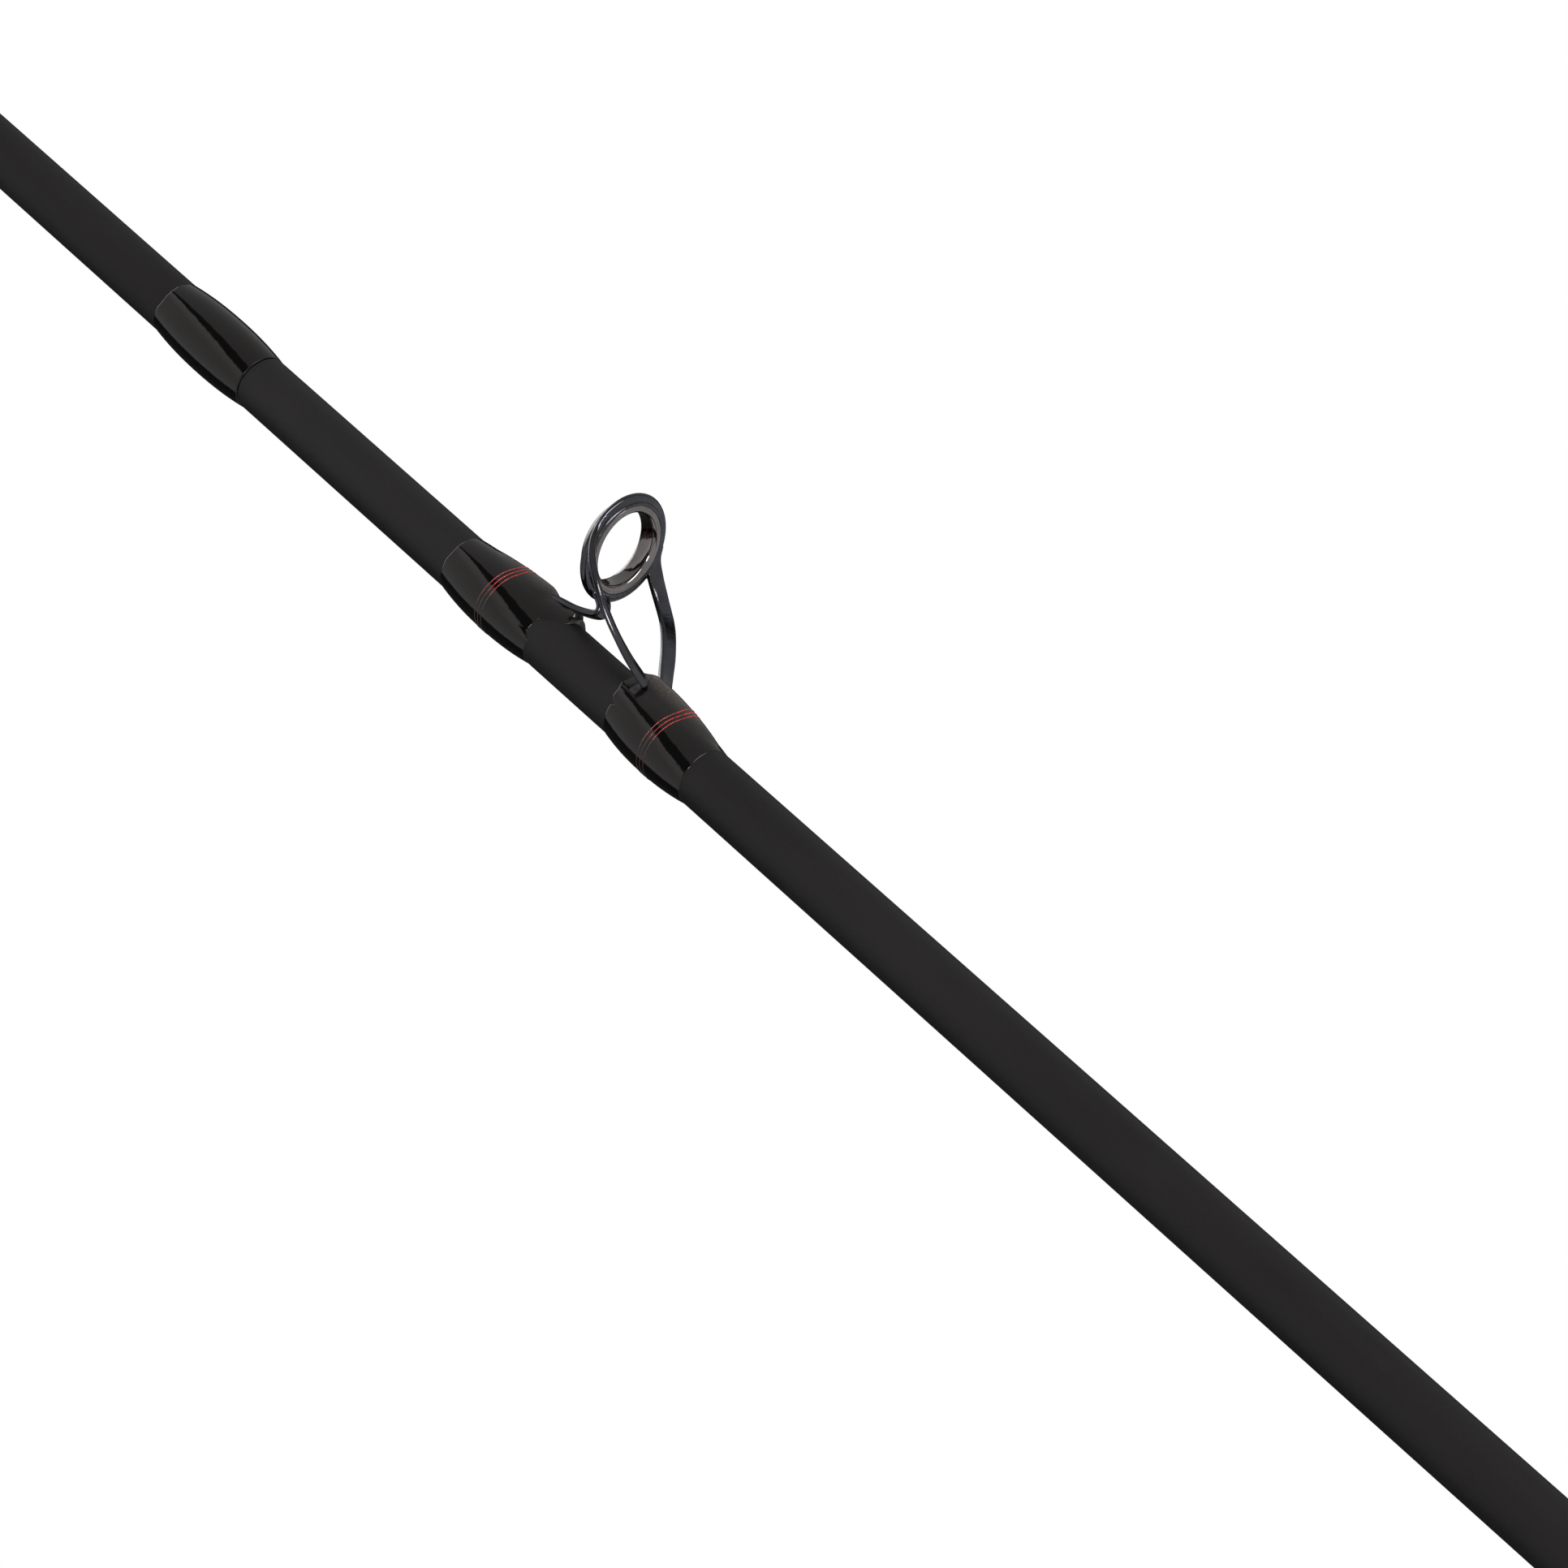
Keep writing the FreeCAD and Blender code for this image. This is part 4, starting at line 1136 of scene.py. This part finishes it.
def build_tip_top():
    """Ring on three struts, whose tube is glued over the end of the blank."""
    mount = MOUNTS["tip_top_bore"]
    k = mount["dims"]["r_mm"] / REFERENCE_BORE_R
    sin, cos = math.sin(RING_LEAN), math.cos(RING_LEAN)
    centre = np.array(mount["pos_m"]) / MM

    def place(x, y, z):
        return tuple(centre + np.array((x * cos - z * sin, y, x * sin + z * cos)))

    s = FRAME_RING_SHIFT
    outline = [(RIM_INNER_R, s - 0.8), (7.0, s - 0.8), (7.6, s - 0.7), (7.9, s - 0.4), (8.0, s),
               (7.9, s + 0.4), (7.6, s + 0.75), (7.0, s + 0.88), (RIM_INNER_R, s + 0.9)]
    ring = lathe_data([(r * k, z * k) for r, z in outline], 96, True, place)

    tube_low = 1956.0
    tube_high = 1971.0
    tube_r = float(tip_radius(tube_low)) + 0.45
    outline = soften([(0.9, tube_low), (tube_r - 0.1, tube_low), (tube_r, tube_low + 0.3),
                      (tube_r, tube_high - 0.4), (tube_r - 0.4, tube_high), (0.5, tube_high)], 0.15)
    tube = lathe_data(outline, 64)

    rim_r = 7.3 * k
    count = 12
    struts = []
    for side, foot_x, foot_z in ((-1, 0.75, tube_low + 2), (1, 0.75, tube_low + 2), (0, 0.9, tube_high - 3)):
        angle = math.pi - side * math.radians(82)
        ring_point = np.array(place(rim_r * math.cos(angle), rim_r * math.sin(angle), s * k))
        foot = np.array((tube_r * foot_x, side * tube_r * 0.6, foot_z))
        bar = catmull([foot, (foot + ring_point) / 2, ring_point], count)
        struts.append(sweep(bar, [circle_section(0.40, 16)] * count, [(0, 1, 0.1)] * count))
    body = make_object("tip_top_metal", *join_data(ring, tube, *struts), GUIDE_METAL)
    fuse(body, 0.075, 5)
    settle(body, TIP, "guide_metal", "tip_top_frame")

    upper = catmull([(5.6, 0.8), (5.66, 1.08), (5.82, 1.31), (6.08, 1.4), (6.34, 1.33), (6.53, 1.12),
                     (6.62, 0.8)], 24)
    outline = [(r * k, z * k) for r, z in [*upper, *((r, -z) for r, z in upper[::-1])]]
    insert = make_object("tip_top_insert", *lathe_data(outline, 160, True, place), INSERT, 60)
    settle(insert, TIP, "ring_insert", "tip_top_ring")

    theta = around(128)
    low = tube_low - 7.4 + waves(theta, 0.12, 5)
    high = tube_low + 1.9 + waves(theta, 0.1, 6)

    def skin(share, z):
        cover = smoothstep((z - low) / 3.5)
        return tip_radius(z) + (tube_r - tip_radius(z) + 0.1) * cover + bulge(share, 0.25)

    nodes = ("tip_top_coat", "tip_top_thread")
    build_sleeve("tip_top_finish", TIP, nodes, low, high, skin, tip_radius, 50)


# ---- stage ----
def build_floor():
    """Round floor, a little below the butt cap so that the two don't share a plane."""
    radius = 3000.0
    drop = 0.5
    cols = 96
    verts = [(x, y, -drop) for x, y in circle_section(radius, cols)]
    floor = make_object("floor", verts, [tuple(range(cols))], FLOOR)


def build_camera():
    data = bpy.data.cameras.new("camera")
    data.sensor_width = CAMERA_SENSOR
    data.lens = CAMERA_LENS
    data.clip_start = 0.05
    data.clip_end = 100
    camera = bpy.data.objects.new("camera", data)
    bpy.context.scene.collection.objects.link(camera)
    azimuth = Matrix.Rotation(math.radians(CAMERA_AZIMUTH + 90), 4, "Z")
    elevation = Matrix.Rotation(math.radians(90 - CAMERA_ELEVATION), 4, "X")
    roll = Matrix.Rotation(math.radians(CAMERA_ROLL), 4, "Z")
    camera.matrix_world = Matrix.Translation(CAMERA_AT) @ azimuth @ elevation @ roll
    bpy.context.scene.camera = camera


def build_world():
    """White for the camera. For light and reflections, two soft panels with a dark gap between them."""
    world = bpy.data.worlds.new("studio")
    bpy.context.scene.world = world
    world.use_nodes = True
    tree = world.node_tree
    tree.nodes.clear()

    def product(*factors):
        return functools.reduce(lambda a, b: arithmetic(tree, "MULTIPLY", a, b), factors)

    def total(*terms):
        return functools.reduce(lambda a, b: arithmetic(tree, "ADD", a, b), terms)

    def difference(a, b):
        return arithmetic(tree, "SUBTRACT", a, b)

    direction = add_node(tree, "TexCoord").outputs["Generated"]
    x, y, z = add_node(tree, "SeparateXYZ", Vector=direction).outputs
    azimuth = product(arithmetic(tree, "ARCTAN2", y, x), 180 / math.pi)
    elevation = product(arithmetic(tree, "ARCSINE", z), 180 / math.pi)

    def past(edge, lean):
        """Azimuth measured from an edge that leans by so many degrees for each degree of elevation."""
        return difference(difference(azimuth, product(difference(elevation, LEAN_ELEVATION), lean)), edge)

    past_left = past(LEFT_EDGE, LEFT_LEAN)
    left_side = fade(tree, past_left, EDGE_BLUR, -EDGE_BLUR)
    right_side = fade(tree, past(RIGHT_EDGE, RIGHT_LEAN), -EDGE_BLUR, EDGE_BLUR)
    left = product(left_side, fade(tree, azimuth, *LEFT_START), LEFT_PANEL)
    glow = product(left_side, fade(tree, past_left, *GLOW_FADE), LEFT_GLOW)
    right = product(right_side, fade(tree, azimuth, *RIGHT_START), RIGHT_PANEL)
    panels = product(total(left, right, glow), fade(tree, z, *PANEL_FOOT), fade(tree, z, *PANEL_TOP))
    below = product(fade(tree, z, *BELOW_TOP), BELOW)
    zenith = product(fade(tree, z, *ZENITH_RIM), ZENITH)

    studio = add_node(tree, "Background", Strength=total(panels, below, AMBIENT, zenith))
    white = add_node(tree, "Background", Strength=1.0, Color=(1, 1, 1, 1))
    mix = add_node(tree, "MixShader", Fac=add_node(tree, "LightPath").outputs["Is Camera Ray"])
    tree.links.new(studio.outputs[0], mix.inputs[1])
    tree.links.new(white.outputs[0], mix.inputs[2])
    add_node(tree, "OutputWorld", Surface=mix.outputs[0])


def build_lamps():
    """Two soft boxes on the camera's side of the first guide, which give the metal its white lines."""
    for azimuth, elevation, distance, width, height, radiance in LAMPS:
        a = math.radians(azimuth)
        e = math.radians(elevation)
        towards = Vector((math.cos(a) * math.cos(e), math.sin(a) * math.cos(e), math.sin(e)))
        data = bpy.data.lights.new("soft_box", "AREA")
        data.shape = "RECTANGLE"
        data.size = width
        data.size_y = height
        data.spread = LAMP_SPREAD
        data.energy = radiance * width * height * math.pi * SPREAD_SHARE
        lamp = bpy.data.objects.new("soft_box", data)
        lamp.location = Vector(LAMP_AIM) + towards * distance
        lamp.rotation_mode = "QUATERNION"
        lamp.rotation_quaternion = towards.to_track_quat("Z", "Y")
        lamp.visible_camera = False
        bpy.context.scene.collection.objects.link(lamp)


def build_stage():
    build_lamps()
    build_floor()
    build_camera()
    build_world()
    view = bpy.context.scene.view_settings
    view.view_transform = "Standard"
    view.look = "None"
    view.exposure = 0.0
    view.gamma = 1.0


build_blanks()
build_spigot()
build_butt_cap()
build_grips()
build_seat()
build_hoods()
build_lock_nut()
paint_arbors()
build_ferrule_wrap()
build_keeper()
Guide(1, BUTT, butt_radius).build()
for guide_number in range(2, 9):
    Guide(guide_number, TIP, tip_radius).build()
build_tip_top()
build_stage()
